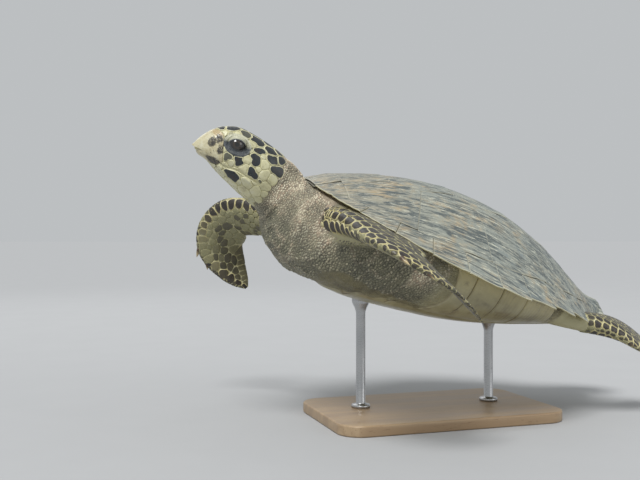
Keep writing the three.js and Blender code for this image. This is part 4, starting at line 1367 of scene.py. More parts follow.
def make_skin():
    """The one skin: the joined surface, smoothed and set into folds, with the four blades laid
    over the ends of their roots. Gives its points, normals and faces for the coat to stand on."""
    points, quads, edges = drawn_round(skin_shells(), SKIN_FINENESS)
    u, v, w = head_place(points)
    grain, flank = zones(points)
    points = smoothed(points, edges, 3, 0.5)
    points = smoothed(points, edges, 14, (0.5 * ease(u, 116, 150) * (1 - flank))[:, None])
    across, over = orbit_place(u, w)
    far = np.hypot(across / ORBIT[0], over / ORBIT[1])
    deepest = eye_side(across, over) - 2.5 + 12 * ease(far, 0.84, 0.99)
    sunk = head_point(u, np.clip(v, -deepest, deepest), w)
    points = np.where(((far < 0.98) & (np.abs(v) > 8))[:, None], sunk, points)
    x, y, z = points.T
    under_shell = (x > 2) & (np.abs(y) < half_width(np.clip(x / LENGTH, 0.001, 0.999)) + 4)
    ceiling = dome(x, y) - PLATE - 1.2
    z = np.where(under_shell & (z > ceiling), ceiling, z)
    points = np.stack([x, y, z], -1)
    normals = vertex_normals(points, quads)
    apart, out = limb_nearness(points)
    rooted = (1 - ease(apart, 1.2, 1.7)) * ease(out, 0.02, 0.1)
    loose = grain * (1 - ease(z - ceiling, -10, -2) * under_shell) * ease(u, 128, 152)
    loose = loose * (1 - rooted)
    points = points + normals * (folded(points, loose, flank) * 0.8)[:, None]
    normals = vertex_normals(points, quads)
    if (normals * (points - points.mean(0))).sum() < 0:
        quads, normals = quads[:, ::-1], -normals
    work = Work()
    work.add(points, [quads], **skin_fields(points))
    for limb in LIMBS:
        chart = limb_chart(limb, -COAT)
        s = np.linspace(STUB_FULL - 0.04, 1, 60)
        grid = np.meshgrid(s, np.linspace(-1, 1, 61)[:-1], indexing="ij")
        sink = 2.5 * (1 - ease(s, STUB_FULL - 0.04, STUB_FULL + 0.06))
        shell, faces = tube(chart.point(*grid, -0.4 - sink[:, None]))
        work.add(shell, outwards(shell, faces, shell[:30 * 60].mean(0)), **skin_fields(shell))
    work.piece("skin", SKIN, "body_skin", replaces=(
        "head", "jaw", "throat", "neck", "trunk", "tail", "flipper_front_left",
        "flipper_front_right", "flipper_hind_left", "flipper_hind_right"))
    return points, normals, quads


def skin_fields(points):
    """Body place in millimetres, and the zones that the colours follow."""
    grain, flank = zones(points)
    apart, share = limb_nearness(points)
    limb = (1 - ease(apart, 1.25, 1.6)) * ease(share, 0.06, 0.16)
    smooth = np.maximum(flank, belly_zone(points)) * (1 - limb)
    return {"body": points, "grain": grain * (1 - limb), "flank": smooth, "limb": limb,
            "light": lightness(points)}


def belly_zone(points):
    """Where the trunk's skin turns smooth and tan: beside the belly plates, with an uneven edge."""
    x, y, z = points.T
    fray = 5 * noise(points, 14, 71)
    beside = np.abs(y) - half_width(np.clip(x / LENGTH, 0.001, 0.999)) * BELLY_SHARE + fray
    return (1 - ease(beside, 7, 17)) * ease(x + fray, 34, 66) * (z < shoulder_middle(x))


def lightness(points):
    """Where the loose skin is pale: round the neck and over the shoulders, fading downwards and
    backwards, with one frayed patch behind each front flipper. Over the folds shade and light are
    painted: the hollows between them darker, as painted shade, and their crests paler, as a painted
    highlight."""
    x, y, z = points.T
    crest = fold_crests(points)
    fray = 20 * noise(points, 26, 61) + 9 * noise(points, 9, 62)
    neck = ease(z + 0.35 * x + fray, -112, -52) * (1 - ease(x + fray, 20, 62))
    patch = bump(x + fray, AXILLA[0], 26) * bump(z + fray, AXILLA[1], 20) * (np.abs(y) > 60)
    light = np.clip(neck + patch, 0, 1)
    # painted shade in the hollows between the folds, and a painted highlight on their crests
    hollow, ridge = 1 - ease(crest, -0.05, 0.45), ease(crest, 0.66, 0.92)
    return light * (1 - 0.55 * hollow) + 0.42 * (1 - light) * ridge


# ---------------------------------------------------------------- the shell's plates

def plan_plate(work, seed, radii, rings, height, under, edge_rise, downwards=False):
    """A plate over the plan: rings out to its outline, at a height of the shell plus the plate's
    own relief, and beneath them a flat underside at the height of under. The narrow side between
    the two is left open, within the seam. A plate of the belly faces downwards."""
    sides = len(radii)
    angles = circle(sides)
    way = towards(angles)
    xy = np.concatenate([[[0.0, 0.0]],
                         (rings[:, None, None] * radii[None, :, None] * way[None]).reshape(-1, 2)])
    distance = np.concatenate([[radii.min()], ((1 - rings)[:, None] * radii[None]).ravel()])
    plan = np.asarray(seed, float) + xy
    z = height(plan[:, 0], plan[:, 1]) + edge_rise(distance, xy)
    top = np.column_stack([plan, z])
    rim = plan[-sides:]
    low = np.column_stack([rim, under(rim[:, 0], rim[:, 1])])
    middle = np.array([[seed[0], seed[1], under(np.array(seed[0] * 1.0), np.array(seed[1] * 1.0))]])
    last = 1 + sides * (len(rings) - 1)
    faces = [fan(0, np.arange(1, 1 + sides)),
             grid_quads(len(rings), sides, True, start=1)[:, ::-1],
             fan(last + 2 * sides, np.arange(last + sides, last + 2 * sides), flip=True)]
    if downwards:
        faces = [group[:, ::-1] for group in faces]
    points = np.concatenate([top, low, middle])
    work.add(points, faces, body=points, edge=np.concatenate([distance, np.zeros(sides + 1)]))


def shell_relief(x, y):
    """Worn unevenness of the horn: slow swells, and long shallow ridges that run backwards."""
    swell = layered(np.stack([x, y, 0 * x], -1), 38, 23, 2) * 0.45
    ridge = layered(np.stack([x / 9, y, 0 * x], -1), 4.6, 29, 2) * 0.22
    return swell + ridge


def plate_edge(distance, back):
    """Relief towards a plate's outline: rounded down into the seam, and a little higher along its
    rear edge, where it lies over the next plate."""
    return -1.15 * (1 - ease(distance, -0.6, 1.7)) + 1.0 * (1 - ease(distance, 1.2, 15)) * back


def make_carapace():
    """The five plates along the keel and the four pairs beside them, each the cell of its seed
    within the ring of marginal plates, and the one plate in front of them."""
    seeds = [(f"vertebral_{i + 1}", x, y) for i, (x, y) in enumerate(VERTEBRALS)]
    for i, (x, y) in enumerate(COSTALS):
        seeds += [(f"costal_right_{i + 1}", x, y), (f"costal_left_{i + 1}", x, -y)]
    places = np.array([seed[1:] for seed in seeds], float)
    sides = 180
    angles = circle(sides)
    offsets = np.array([np.delete(places, i, 0) - places[i] for i in range(len(places))])
    alike = [1.0, 1.0, 0.0]
    own = np.tile(alike, (len(places), 1))
    others = np.tile(alike, (len(places), len(places) - 1, 1))

    def inside(i, x):
        """Within the ring of marginal plates."""
        px, py = places[i, 0] + x[..., 0], places[i, 1] + x[..., 1]
        return (px > INNER_START) & (px < INNER_END) & (np.abs(py) < inner_half(px))

    radii = cell_radii(offsets, own, others, angles, np.full(len(places), 170.0), 340, inside)
    radii = rounded_off(radii, 0.9) - 0.25
    rings = np.concatenate([np.linspace(0, 1, 34)[1:] ** 0.9 * 0.97, [0.985, 0.995, 1.0]])
    for i, (name, x, y) in enumerate(seeds):
        work = Work()
        rise = lambda distance, xy: (shell_relief(places[i, 0] + xy[:, 0], places[i, 1] + xy[:, 1])
                                     + plate_edge(distance, ease(xy[:, 0], 0, 30)))
        plan_plate(work, (x, y), radii[i], rings, dome, lambda px, py: dome(px, py) - 6.5, rise)
        work.piece(f"scute_{name}", CARAPACE, "carapace_plate", replaces=(name,))
    work = Work()
    seed = (21.0, 0.0)

    def in_front(_, x):
        """Before the keel's first plate, between the first marginal plates."""
        px, py = seed[0] + x[..., 0], np.abs(x[..., 1])
        return (px < INNER_START) & (py < NUCHAL_HALF) & (px > 2.2) & (
            py < half_width(np.maximum(px, 0.01) / LENGTH))

    radii = lone_radii(angles, 70.0, 280, in_front)
    rise = lambda distance, xy: (shell_relief(seed[0] + xy[:, 0], xy[:, 1])
                                 + plate_edge(distance, ease(xy[:, 0], 0, 12)))
    plan_plate(work, seed, rounded_off(radii, 0.9)[0] - 0.25, rings, dome,
               lambda px, py: dome(px, py) - 4.5, rise)
    work.piece("scute_nuchal", CARAPACE, "carapace_plate", replaces=("nuchal",))
    make_bed()


def make_bed():
    """The horn beneath the seams: one thin sheet under the whole shell, let into its plates."""
    x = np.linspace(6, 586, 150)
    v = np.linspace(-1, 1, 90)
    y = v[None] * (half_width(x / LENGTH) - 4.5)[:, None]
    plan_x = np.broadcast_to(x[:, None], y.shape)
    depth = 1.9 * rim_thickness(plan_x, y) / PLATE
    top = np.stack([plan_x, y, dome(plan_x, y) - 1.1 - 0.5 * depth], -1)
    low = np.stack([plan_x, y, dome(plan_x, y) - 1.1 - 1.2 * depth], -1)
    shell, faces = tube(np.concatenate([top, low[:, ::-1]], 1))
    out = face_normals(shell, faces[0][40:41])[0, 2] > 0
    work = Work()
    work.add(shell, faces if out else [f[:, ::-1] for f in faces], body=shell, edge=0.0)
    work.piece("scute_bed", CARAPACE, "carapace_plate")


def rim_path():
    """The smooth rim of the right side in plan, from front to rear, and each point's share of the
    length of its arc."""
    t = np.linspace(RIM_START, RIM_END, 4001)
    path = np.column_stack([t * LENGTH, half_width(t)])
    run = np.concatenate([[0], np.cumsum(np.linalg.norm(np.diff(path, axis=0), axis=1))])
    return path, run / run[-1]


def make_marginals():
    """Each side's twelve marginal plates. A plate is a grid: round its thickness (from its inner
    edge over the top, round the rim and back beneath), and along the rim from seam to seam. Its
    outer edge steps out towards its rear corner, which gives the shell its saw edge behind."""
    path, share = rim_path()
    front = np.column_stack([np.full(60, INNER_START),
                             np.linspace(NUCHAL_HALF + 0.4, inner_half(INNER_START), 60)])
    x = np.linspace(INNER_START, INNER_END, 900)[1:]
    rear = np.column_stack([np.linspace(INNER_END, 590, 60)[1:], np.full(59, 0.5)])
    inner = np.concatenate([front, np.column_stack([x, inner_half(x)]), rear])
    tip = np.array([604.5, 15.0])
    joints = np.interp(np.arange(TEETH + 1) / TEETH, share, path[:, 0] / LENGTH)
    steps = 39
    whole = np.linspace(0, 1, TEETH * steps + 1)
    smooth_rim = np.column_stack([np.interp(whole, share, path[:, i]) for i in range(2)])
    near = np.maximum.accumulate([np.argmin(np.linalg.norm(inner - r, axis=1)) for r in smooth_rim])
    near = np.convolve(np.pad(near, 12, mode="edge"), np.ones(25) / 25, mode="valid")
    inner_at = np.column_stack([np.interp(near, np.arange(len(inner)), inner[:, i])
                                for i in range(2)])
    for side, label in ((1, "right"), (-1, "left")):
        work = Work()
        for k in range(1, TEETH + 1):
            p = np.linspace(0, 1, steps + 1)
            own = slice((k - 1) * steps, k * steps + 1)
            rim, back = smooth_rim[own], inner_at[own]
            reach = 0.2 if k == TEETH else np.clip((joints[k] - 0.3) / 0.5, 0, 1)
            ahead = unit(np.gradient(rim, axis=0))
            outward = np.column_stack([-ahead[:, 1], ahead[:, 0]])
            outward *= np.sign(outward[:, 1:2]) if k < TEETH else 1
            out = TOOTH_DEPTH * reach * p**1.6 if reach else 0 * p
            rim = rim + outward * out[:, None]
            if k == TEETH:
                rim = rim + (tip - rim[-1]) * (p[:, None] ** 2)
            q = np.concatenate([np.linspace(0.0, 1, 30), np.full(7, 1.0), np.linspace(1, 0.0, 14)])
            part = np.concatenate([np.zeros(30), np.linspace(0, 1, 9)[1:-1], np.ones(14)])
            inset = 0.3 / np.maximum(np.linalg.norm(rim - back, axis=1), 6)
            qs = inset[:, None] + (1 - inset[:, None]) * q[None]
            plan = back[:, None] + (rim - back)[:, None] * qs[..., None]
            run = np.linalg.norm(np.gradient(rim, axis=0), axis=1)
            along = np.cumsum(run) - run[0]
            total = along[-1]
            ends = np.minimum(along, total - along)
            width = np.linalg.norm(rim - back, axis=1)[:, None]
            from_inner = qs * width
            distance = np.minimum(ends[:, None] + 0 * qs, from_inner)
            plan_x, plan_y = plan[..., 0], plan[..., 1] * side
            top = dome(plan_x, plan_y) + shell_relief(plan_x, plan_y) * 0.8
            top = top + plate_edge(distance, ease(p, 0.35, 1)[:, None] + 0 * qs)
            thick = (RIM - 0.4) + (PLATE - RIM - 1.5) * (1 - qs) ** 1.2
            close = ease(ends, 0, 1.6)[:, None]
            round_out = np.sin(np.pi * part) * 1.3 * close * (q[None] >= 1)
            z = top - thick * part[None] - 0.4 * (1 - close) * (1 - part)
            plan_x = plan_x + outward[:, :1] * round_out
            plan_y = plan_y + outward[:, 1:] * round_out * side
            rings = np.stack([plan_x, plan_y, z], -1)
            shrink = 0.2 / np.maximum(total, 20)
            lean = rings[-1:] - rings[:1]
            rings = rings + lean * (shrink * (1 - 2 * p))[:, None, None]
            edge = np.concatenate([distance.ravel(), [0, 0]])
            under = np.concatenate([np.broadcast_to(part[None], distance.shape).ravel(), [1, 1]])
            work.add_tube(rings, "body", edge=edge, under=under)
        work.piece(f"scutes_marginal_{label}", MARGINAL, "marginal_plate",
                   replaces=(f"marginals_{label}",))


def make_plastron():
    """Six pairs of belly plates and one small one in front, with the trunk's own round."""
    joints = [72, 96, 142, 214, 330, 426, 506, 558]
    stations = 12
    i = np.arange(stations + 1)
    grown = np.sin(np.arccos(np.abs(2 * i / stations - 1) ** 5))
    x_at = BELLY_START + (BELLY_END - BELLY_START) * i / stations
    half_at = half_width(x_at / LENGTH) * BELLY_SHARE * (0.45 + 0.55 * grown)
    half = lambda x: np.interp(x, x_at, half_at)
    seeds = [(84.0, 0.0)] + [((a + b) / 2, side * 0.5 * float(half((a + b) / 2)))
                             for a, b in zip(joints[1:-1], joints[2:]) for side in (-1, 1)]
    spans = [(72, 96)] + [(a, b) for a, b in zip(joints[1:-1], joints[2:]) for _ in (0, 1)]
    sides = 120
    angles = circle(sides)
    rings = np.concatenate([np.linspace(0, 1, 20)[1:] ** 0.85 * 0.95, [0.97, 0.985, 0.995, 1.0]])
    bow = lambda py: 14.0 * (np.abs(py) / 140) ** 1.5
    upturn = lambda from_outline: 3.4 * (1 - ease(from_outline, 0, 9))
    under = lambda px, py: trunk_under(px, py) + 3.5
    height = lambda px, py: trunk_under(px, py) - BELLY_PROUD
    work = Work()
    for index, (x, y) in enumerate(seeds):
        low, high = spans[index]

        def allowed(_, step):
            """Between the plate's seams, which bow backwards, on its own side of the belly."""
            px, py = x + step[..., 0], y + step[..., 1]
            own_side = np.ones(px.shape, bool) if y == 0 else py * y > 0
            return (px > low + bow(py) * (index > 0)) & (px < high + bow(py) * (high < 558)) \
                & (np.abs(py) < half(px)) & own_side

        radii = rounded_off(lone_radii(angles, 190.0, 380, allowed), 1.3)[0] - 0.45

        def rise(distance, xy):
            """Rounded into the seams, turned up into the skin along the outline, gently uneven."""
            px, py = x + xy[:, 0], y + xy[:, 1]
            from_ends = np.minimum(px - BELLY_START, BELLY_END - px)
            from_outline = np.minimum(half(px) - np.abs(py), from_ends)
            uneven = layered(np.stack([px, py, 0 * px], -1), 42, 41, 2) * 0.35
            return 1.3 * (1 - ease(distance, -0.4, 1.6)) + upturn(from_outline) - uneven

        plan_plate(work, (x, y), radii, rings, height, under, rise, downwards=True)
    work.piece("scutes_plastron", PLASTRON, "belly_plate", replaces=("plastron",))
    plan_x = np.linspace(BELLY_START + 3, BELLY_END - 3, 130)[:, None]
    plan_y = np.linspace(-1, 1, 120) * (half(plan_x) - 1.2)
    plan_x = plan_x + 0 * plan_y
    raised = 1.5 + upturn(half(plan_x) - np.abs(plan_y))
    low = np.stack([plan_x, plan_y, height(plan_x, plan_y) + raised], -1)
    top = low + [0, 0, 3.0]
    work = Work()
    work.add_tube(np.concatenate([top, low[:, ::-1]], 1), "body", edge=0.0)
    work.piece("plastron_bed", PLASTRON, "belly_plate")


# ---------------------------------------------------------------- head scales

# Crown scales: u, millimetres from the middle line, half lengths along and across, how dark.
CROWN_SCALES = [
    (21, 6.5, 8, 6, 1), (38, 9, 10, 9, 1), (53, 0, 8, 7.5, 1), (60, 20, 12, 7, 0.9),
    (76, 0, 14, 11, 1), (77, 21, 14, 9.5, 1), (97, 9.5, 10, 9, 1), (104, 27, 10.5, 9.5, 1),
    (116, 0, 7, 7, 0.9), (117, 15, 7, 7, 1), (124, 30, 5, 7.5, 1),
]
# Side scales: u, w, half lengths, lean in degrees (rear end up), how dark.
SIDE_SCALES = [
    (89, 50.5, 9.5, 5, 24, 1), (88, 34.5, 13.5, 6.2, -14, 1), (111.5, 49.5, 11.5, 7.8, 26, 1),
    (125, 37.5, 9, 6.4, 14, 1), (68.5, 20, 11, 5.4, -32, 1), (95.5, 12.5, 11, 6.4, -6, 1),
    (49, 14, 8, 6, -20, 0.85), (57, 9.5, 4.5, 4, 0, 0.2),
    (38, 46, 5, 5, 0, 0.5), (77, 29, 5, 8, -30, 0.03), (72, 52, 8, 4.5, 20, 0.1),
    (104, 35, 7, 8.5, 0, 0.04), (113, 22, 8.5, 8.5, 0, 0.08), (80, 12, 7, 6.5, -20, 0.03),
    (111, 10, 4, 3.4, 0, 0.85), (125, 22, 7, 7, 0, 0.0), (122, 8, 7, 7, 0, 0),
    (71, -6, 17.5, 6, -2, 1), (98, -4, 9, 5.5, 0, 0.08), (115, -6, 8, 7, 0, 0),
    (56, -13.5, 8, 5, 0, 0.1), (81, -17, 9, 6, 0, 0.03), (101, -17, 9, 7, 0, 0),
]


def head_scale_seeds(rng):
    """The named scales of both sides, then small plain ones wherever there is room."""
    places, forms, tones = [], [], []
    full = {u: np.linalg.norm(np.diff(head_section(float(u), np.linspace(
        np.pi / 2, -np.pi / 2, 361)), axis=0), axis=1).sum() for u in range(0, 151)}
    for u, across, long, wide, dark in CROWN_SCALES:
        for side in ((1,) if across == 0 else (1, -1)):
            places.append((u, side * across / full[int(u)]))
            forms.append((long, wide, 0.0))
            tones.append(dark)
    for u, w, long, wide, lean, dark in SIDE_SCALES:
        for side in (1, -1):
            places.append(head_seed(u, w, side))
            forms.append((long, wide, math.radians(lean) * side))
            tones.append(dark)
    count = 900
    u = rng.uniform(16, 128, count)
    share = rng.uniform(0.02, 1.0, count)
    u, share = np.concatenate([u, u]), np.concatenate([share, -share])
    return np.array(places), np.array(forms), np.array(tones), np.column_stack([u, share])


def make_head_scales():
    """All scales of the head in one piece. Gives their middles and mean half lengths, so that no
    granule stands on them."""
    rng = np.random.default_rng(7)
    chart = head_chart(0.5, 150, rows=200, columns=321)
    places, forms, tones, spare = head_scale_seeds(rng)
    mouth = curve([(u, head_seed(u, mouth_line(u), 1)[1]) for u in range(1, 150, 6)])

    def free(a, b):
        """Off the horn of the beak, the lids and the mouth."""
        share = np.abs(b)
        lip = mouth(a)
        on_beak = (share < lip) & (a < beak_back(np.minimum(1, share / lip)) + 0.6)
        on_jaw = (share > lip) & (a < jaw_back((1 - share) / (1 - lip)) + 0.6)
        u, v, w = head_place(chart.point(a, b))
        x, y = orbit_place(u, w)
        on_lid = (np.hypot(x / 21.0, y / 16.0) < 1) & (np.abs(v) > 10)
        in_mouth = (np.abs(w - mouth_line(a)) < 1.9) & (a < LIP_END) & (np.abs(v) > 5)
        return ~(on_beak | on_jaw | on_lid | in_mouth)

    spare = spare[free(spare[:, 0], spare[:, 1])]
    clear = free(places[:, 0], places[:, 1])
    places, forms, tones = places[clear], forms[clear], tones[clear]
    at, own = chart.point(*spare.T), chart.point(*places.T)
    room = (np.linalg.norm(at[:, None] - own[None], axis=-1)
            / (forms[None, :, :2].mean(-1) + 3.4)).min(1) > 1
    spare, at = spare[room], at[room]
    stay = thinned(at, np.full(len(at), 8.2), rng.random(len(at)))
    spare = spare[stay]
    places = np.concatenate([places, spare])
    forms = np.concatenate([forms, np.column_stack([rng.uniform(3.6, 4.6, (len(spare), 2)),
                                                    rng.uniform(0, 3, len(spare))])])
    tones = np.concatenate([tones, rng.choice([0, 0.06, 0.12], len(spare))])
    work = Work()
    scales(work, chart, places, forms, gap=0.9, height=0.75, rounds=1.75, tone=tones,
           sides=36, spread=1.5, allowed=free, kind=np.where(places[:, 0] > 118, 0.25, 0.0),
           border=np.minimum(1.5, 0.28 * forms[:, :2].min(1)))
    work.piece("head_scales", HEAD_SCALE, "head_skin", bake_map=True)
    return chart.point(*places.T), forms[:, :2].mean(1)


# ---------------------------------------------------------------- beak

jaw_back = curve([(0, 30), (0.4, 34), (0.8, 44), (1, 47)])
JAW_TIP = 8.0


def make_beak():
    """Horn of both jaws: a shell over the head's own surface, raised a little, with growth ridges
    along its rear edge, tucked under the scales behind and thin at its cutting edge."""
    chart = head_chart(0.5, 60, rows=160, columns=361)
    mouth = curve([(u, head_seed(u, mouth_line(u), 1)[1]) for u in np.arange(0.5, 60, 2)])
    rows, columns = 110, 181
    q = np.linspace(0, 1, rows) ** 1.35
    c = np.linspace(-1, 1, columns)
    for name, node, top in (("beak_upper_horn", "beak_upper", True),
                            ("beak_lower_horn", "beak_lower", False)):
        start = 0.5 if top else JAW_TIP
        back = beak_back(c) if top else jaw_back(np.abs(c))
        u = start + q[:, None] * (back - start)[None]
        lip = mouth(u)
        if top:
            share = c[None] * lip
        else:
            share = np.sign(c + 1e-9)[None] * (1 - np.abs(c)[None] * (1 - lip))
        from_back = back[None] - u
        from_lip = (1 - np.abs(c))[None] * np.ones_like(u)
        waver = noise(np.stack([u, share * 40, 0 * u], -1), 9, 3)
        ridge = 0.16 * np.sin(from_back * 1.9 + 2 * waver) * bump(from_back, 5, 9)
        height = 0.85 * ease(from_back, 0, 1.6) - 1.0 * (1 - ease(from_back, -0.2, 0.5)) + ridge
        outer = chart.point(u, share, height)
        inner = chart.point(u, share, -2.6 - 0 * u)
        lip_edge = (1 - ease(from_lip, 0, 0.06))[..., None]
        inner = inner + (outer - inner) * lip_edge * 0.75
        if top:
            place = np.stack(head_place(outer), -1)
            nostril = 2.2 * np.exp(-(((place[..., 0] - 11.5) / 1.9) ** 2
                                     + ((np.abs(place[..., 1]) - 5.2) / 1.5) ** 2)) * (
                place[..., 2] > 20)
            outer = outer - chart.read(chart.normal, u, share) * nostril[..., None]
            tip = head_point(np.array(-2.0), np.array(0.0), np.array(0.2))
            near = (1 - ease(u, 0, 7))[..., None]
            pull = np.clip(1 - q[:, None, None] * 14, 0, 1) * near
        else:
            tip = head_point(np.array(JAW_TIP), np.array(0.0), np.array(-2.0))
            near = np.clip((u - JAW_TIP) / 9, 0, 1)
            pull = (1 - np.sqrt(1 - (1 - near) ** 2))[..., None]
        outer, inner = (side + (tip - side) * pull for side in (outer, inner))
        rings = np.concatenate([outer, inner[:, ::-1]], 1)
        shell, faces = tube(rings)
        direction = chart.read(chart.normal, u[60:61, 90], share[60:61, 90])[0]
        first = face_normals(shell, faces[0][60 * rings.shape[1] + 90][None])[0]
        faces = [f[:, ::-1] for f in faces] if first @ direction < 0 else faces
        both = lambda table: np.concatenate([table, table[:, ::-1]], 1).ravel()
        work = Work()
        work.add(shell, faces, head=np.stack(head_place(shell), -1),
                 edge=np.concatenate([both(from_back), [0, 0]]))
        work.piece(name, HORN, "beak_horn", replaces=(node,))


# ---------------------------------------------------------------- eyes and lids

ORBIT, OPENING, UPPER_OPEN, LOWER_OPEN = (22.6, 17.4), 12.2, 7.4, 6.4


def eye_side(x, y):
    """How far the eyeball's front stands from the middle of the head, over the orbit's plane."""
    away = x**2 + (y + ORBIT_RISE) ** 2
    return EYE["side"] + np.sqrt(np.maximum(EYE["radius"] ** 2 - away, 4))


def orbit_to_head(x, y):
    """u and w of a place over the orbit's plane: the opposite of orbit_place."""
    c, s = math.cos(ORBIT_LEAN), math.sin(ORBIT_LEAN)
    return EYE["u"] + x * c - y * s, EYE["w"] + ORBIT_RISE + x * s + y * c


def head_surface(u, w, height):
    """Points over the left side of the head at u and w, raised along its normal, with its forms."""
    seats = np.array([head_seed(a, b, 1) for a, b in zip(u.ravel(), w.ravel())])
    chart = head_chart(10, 110, rows=140, columns=481)
    return chart.point(seats[:, 0], seats[:, 1], height.ravel()).reshape(*u.shape, 3)


def make_lids():
    """The lids of both eyes as a ring round the almond of the opening: from inside the lid over its
    rounded margin, up the eyeball's curve, through folds, and out to the head's own surface."""
    columns = 144
    phi = circle(columns)
    open_y = np.where(np.sin(phi) > 0, UPPER_OPEN, LOWER_OPEN)
    margin = np.stack([OPENING * np.cos(phi),
                       open_y * np.sin(phi) * np.abs(np.sin(phi)) ** 0.3], -1)
    outer = np.stack([ORBIT[0] * np.cos(phi), ORBIT[1] * np.sin(phi)], -1)
    length = np.linalg.norm(outer - margin, axis=1)
    start, share = 1.5, np.linspace(0, 1, 60)[1:]
    lip = np.array([0.0, 0.0, 0.12, 0.3, 0.6, 1.0, start])
    rows = np.concatenate([np.repeat(lip[:, None], columns, 1),
                           start + share[:, None] * (length[None] - start)])
    rise = 1.2 * np.sqrt(np.clip(1 - (1 - np.minimum(1, rows / 1.2)) ** 2, 0, 1))
    rise[0] = -1.2
    way = (outer - margin) / length[:, None]
    x = margin[None, :, 0] + way[None, :, 0] * rows
    y = margin[None, :, 1] + way[None, :, 1] * rows
    u, w = orbit_to_head(x, y)
    out = rows / length[None]
    upper = ease(np.sin(phi), -0.15, 0.35)[None] * np.ones_like(rows)
    fold = -0.75 * bump(rows, 3.4 + 0.9 * upper, 0.5) - 0.4 * bump(rows, 5.6 + 1.2 * upper, 0.5)
    fold = fold * ease(rows, 1.6, 2.6) * (1 - ease(out, 0.8, 1))
    fine = 0.12 * np.sin(rows * 3.3 + 1.6 * np.sin(phi * 3)[None]) * ease(rows, 2, 4)
    fine = fine * (1 - ease(out, 0.75, 1))
    swell = 0.9 * bump(rows, 4.6, 2.6) * upper
    height = 0.5 + swell + fold + fine - 1.7 * ease(out, 0.9, 1.0) ** 2
    over_head = head_surface(u, w, height)
    ball = head_point(u, -(eye_side(x, y) + rise), w)
    blend = ease(out, 0.08, 0.8)[..., None]
    left = ball * (1 - blend) + over_head * blend
    from_margin = np.concatenate([rows[:1], rows, rows[-1:]])
    for sign, label in ((-1, "left"), (1, "right")):
        rings = left * [1, -sign, 1]
        inward = np.array([0, -sign * 3.0, 0])
        rings = np.concatenate([rings[:1] + inward, rings, rings[-1:] + inward])
        points = rings.reshape(-1, 3)
        quads = grid_quads(len(rings), columns, closed=True)
        last, ring = (len(rings) - 1) * columns, np.arange(columns)
        wall = np.stack([last + ring, last + np.roll(ring, -1), np.roll(ring, -1), ring], -1)
        faces = face_normals(points, quads[20 * columns:21 * columns]).mean(0)
        quads = np.concatenate([quads, wall])
        work = Work()
        work.add(points, [quads if faces[1] * sign > 0 else quads[:, ::-1]],
                 head=np.stack(head_place(points), -1), edge=from_margin.ravel(),
                 upper=np.concatenate([upper[:1], upper, upper[-1:]]).ravel())
        work.piece(f"eyelids_{label}", LID, "head_skin")


def make_eyes():
    """The eyeballs: spheres with a slightly fuller cornea, as rings round an axis that points
    outwards and a little forwards and up."""
    columns = 96
    phi = circle(columns)
    psi = np.linspace(0, np.pi, 60)[1:-1]
    radius = EYE["radius"] + 0.6 * np.exp(-((psi / 0.55) ** 4))
    for sign, label in ((1, "right"), (-1, "left")):
        axis = unit(np.array([-0.12, sign * 1.0, 0.16]))
        first = unit(np.cross(axis, [0, 0, 1.0]))
        second = np.cross(axis, first)
        middle = head_point(np.array(EYE["u"]), np.array(sign * EYE["side"]), np.array(EYE["w"]))
        ring = np.cos(phi)[:, None] * first + np.sin(phi)[:, None] * second
        rings = middle + radius[:, None, None] * (
            np.cos(psi)[:, None, None] * axis + np.sin(psi)[:, None, None] * ring[None])
        shell, faces = tube(rings)
        shell[-2:] = middle + axis * (EYE["radius"] + 0.6), middle - axis * EYE["radius"]
        work = Work()
        work.add(shell, outwards(shell, faces, middle),
                 axis=np.concatenate([np.repeat(psi, columns), [0, np.pi]]),
                 spin=np.concatenate([np.tile(phi, len(psi)), [0, 0]]))
        work.piece(f"eyeball_{label}", EYEBALL, "eye", replaces=(f"eye_{label}",))


LIP_START, LIP_END, LIP_HALF = 36.0, 112.0, 3.4


def make_lips():
    """The line of the closed mouth behind the beak: a narrow band over the head's groove, with a
    fuller upper lip, a deep crease between the lips and both edges tucked under the scales."""
    u = np.linspace(LIP_START, LIP_END, 150)
    away = np.linspace(LIP_HALF, -LIP_HALF, 41)
    ends = ease(u, LIP_START, LIP_START + 8) * (1 - ease(u, LIP_END - 14, LIP_END))
    side = np.minimum(1, (LIP_HALF - np.abs(away)) / 1.1)
    full = np.where(away > 0, 1.25, 0.85) * (1 - np.exp(-((away / 0.8) ** 2))) - 0.5
    height = full[None] * ends[:, None] - 1.4 * (1 - ease(side, 0, 1))[None] - 0.5 * (
        1 - ends[:, None])
    fine = 0.1 * np.sin(u[:, None] * 1.9 + away[None]) * (np.abs(away) > 1)[None]
    top = head_surface(u[:, None] + 0 * away, mouth_line(u)[:, None] + away, height + fine)
    low = head_surface(u[:, None] + 0 * away, mouth_line(u)[:, None] + away, height - 2.2)
    rings = np.concatenate([top, low[:, ::-1]], 1)
    edge = np.broadcast_to(np.abs(away), height.shape)
    edge = np.concatenate([np.concatenate([edge, edge[:, ::-1]], 1).ravel(), [3, 3]])
    for sign, label in ((-1, "left"), (1, "right")):
        work = Work()
        work.add_tube(rings * [1, -sign, 1], "body", edge=edge)
        work.piece(f"lips_{label}", LIP, "head_skin")


# ---------------------------------------------------------------- flipper scales and claws

def along_edge(chart, share, start, end, gaps):
    """Places along a line of equal share, each a gap after the last; gaps reads the share of the
    limb's length and gives millimetres."""
    s = np.linspace(start, end, 2000)
    line = chart.point(s, np.full(2000, share))
    run = np.concatenate([[0], np.cumsum(np.linalg.norm(np.diff(line, axis=0), axis=1))])
    beats = np.concatenate([[0], np.cumsum(np.diff(run) / gaps(s[1:]))])
    return np.interp(np.arange(0.5, beats[-1]), beats, s)


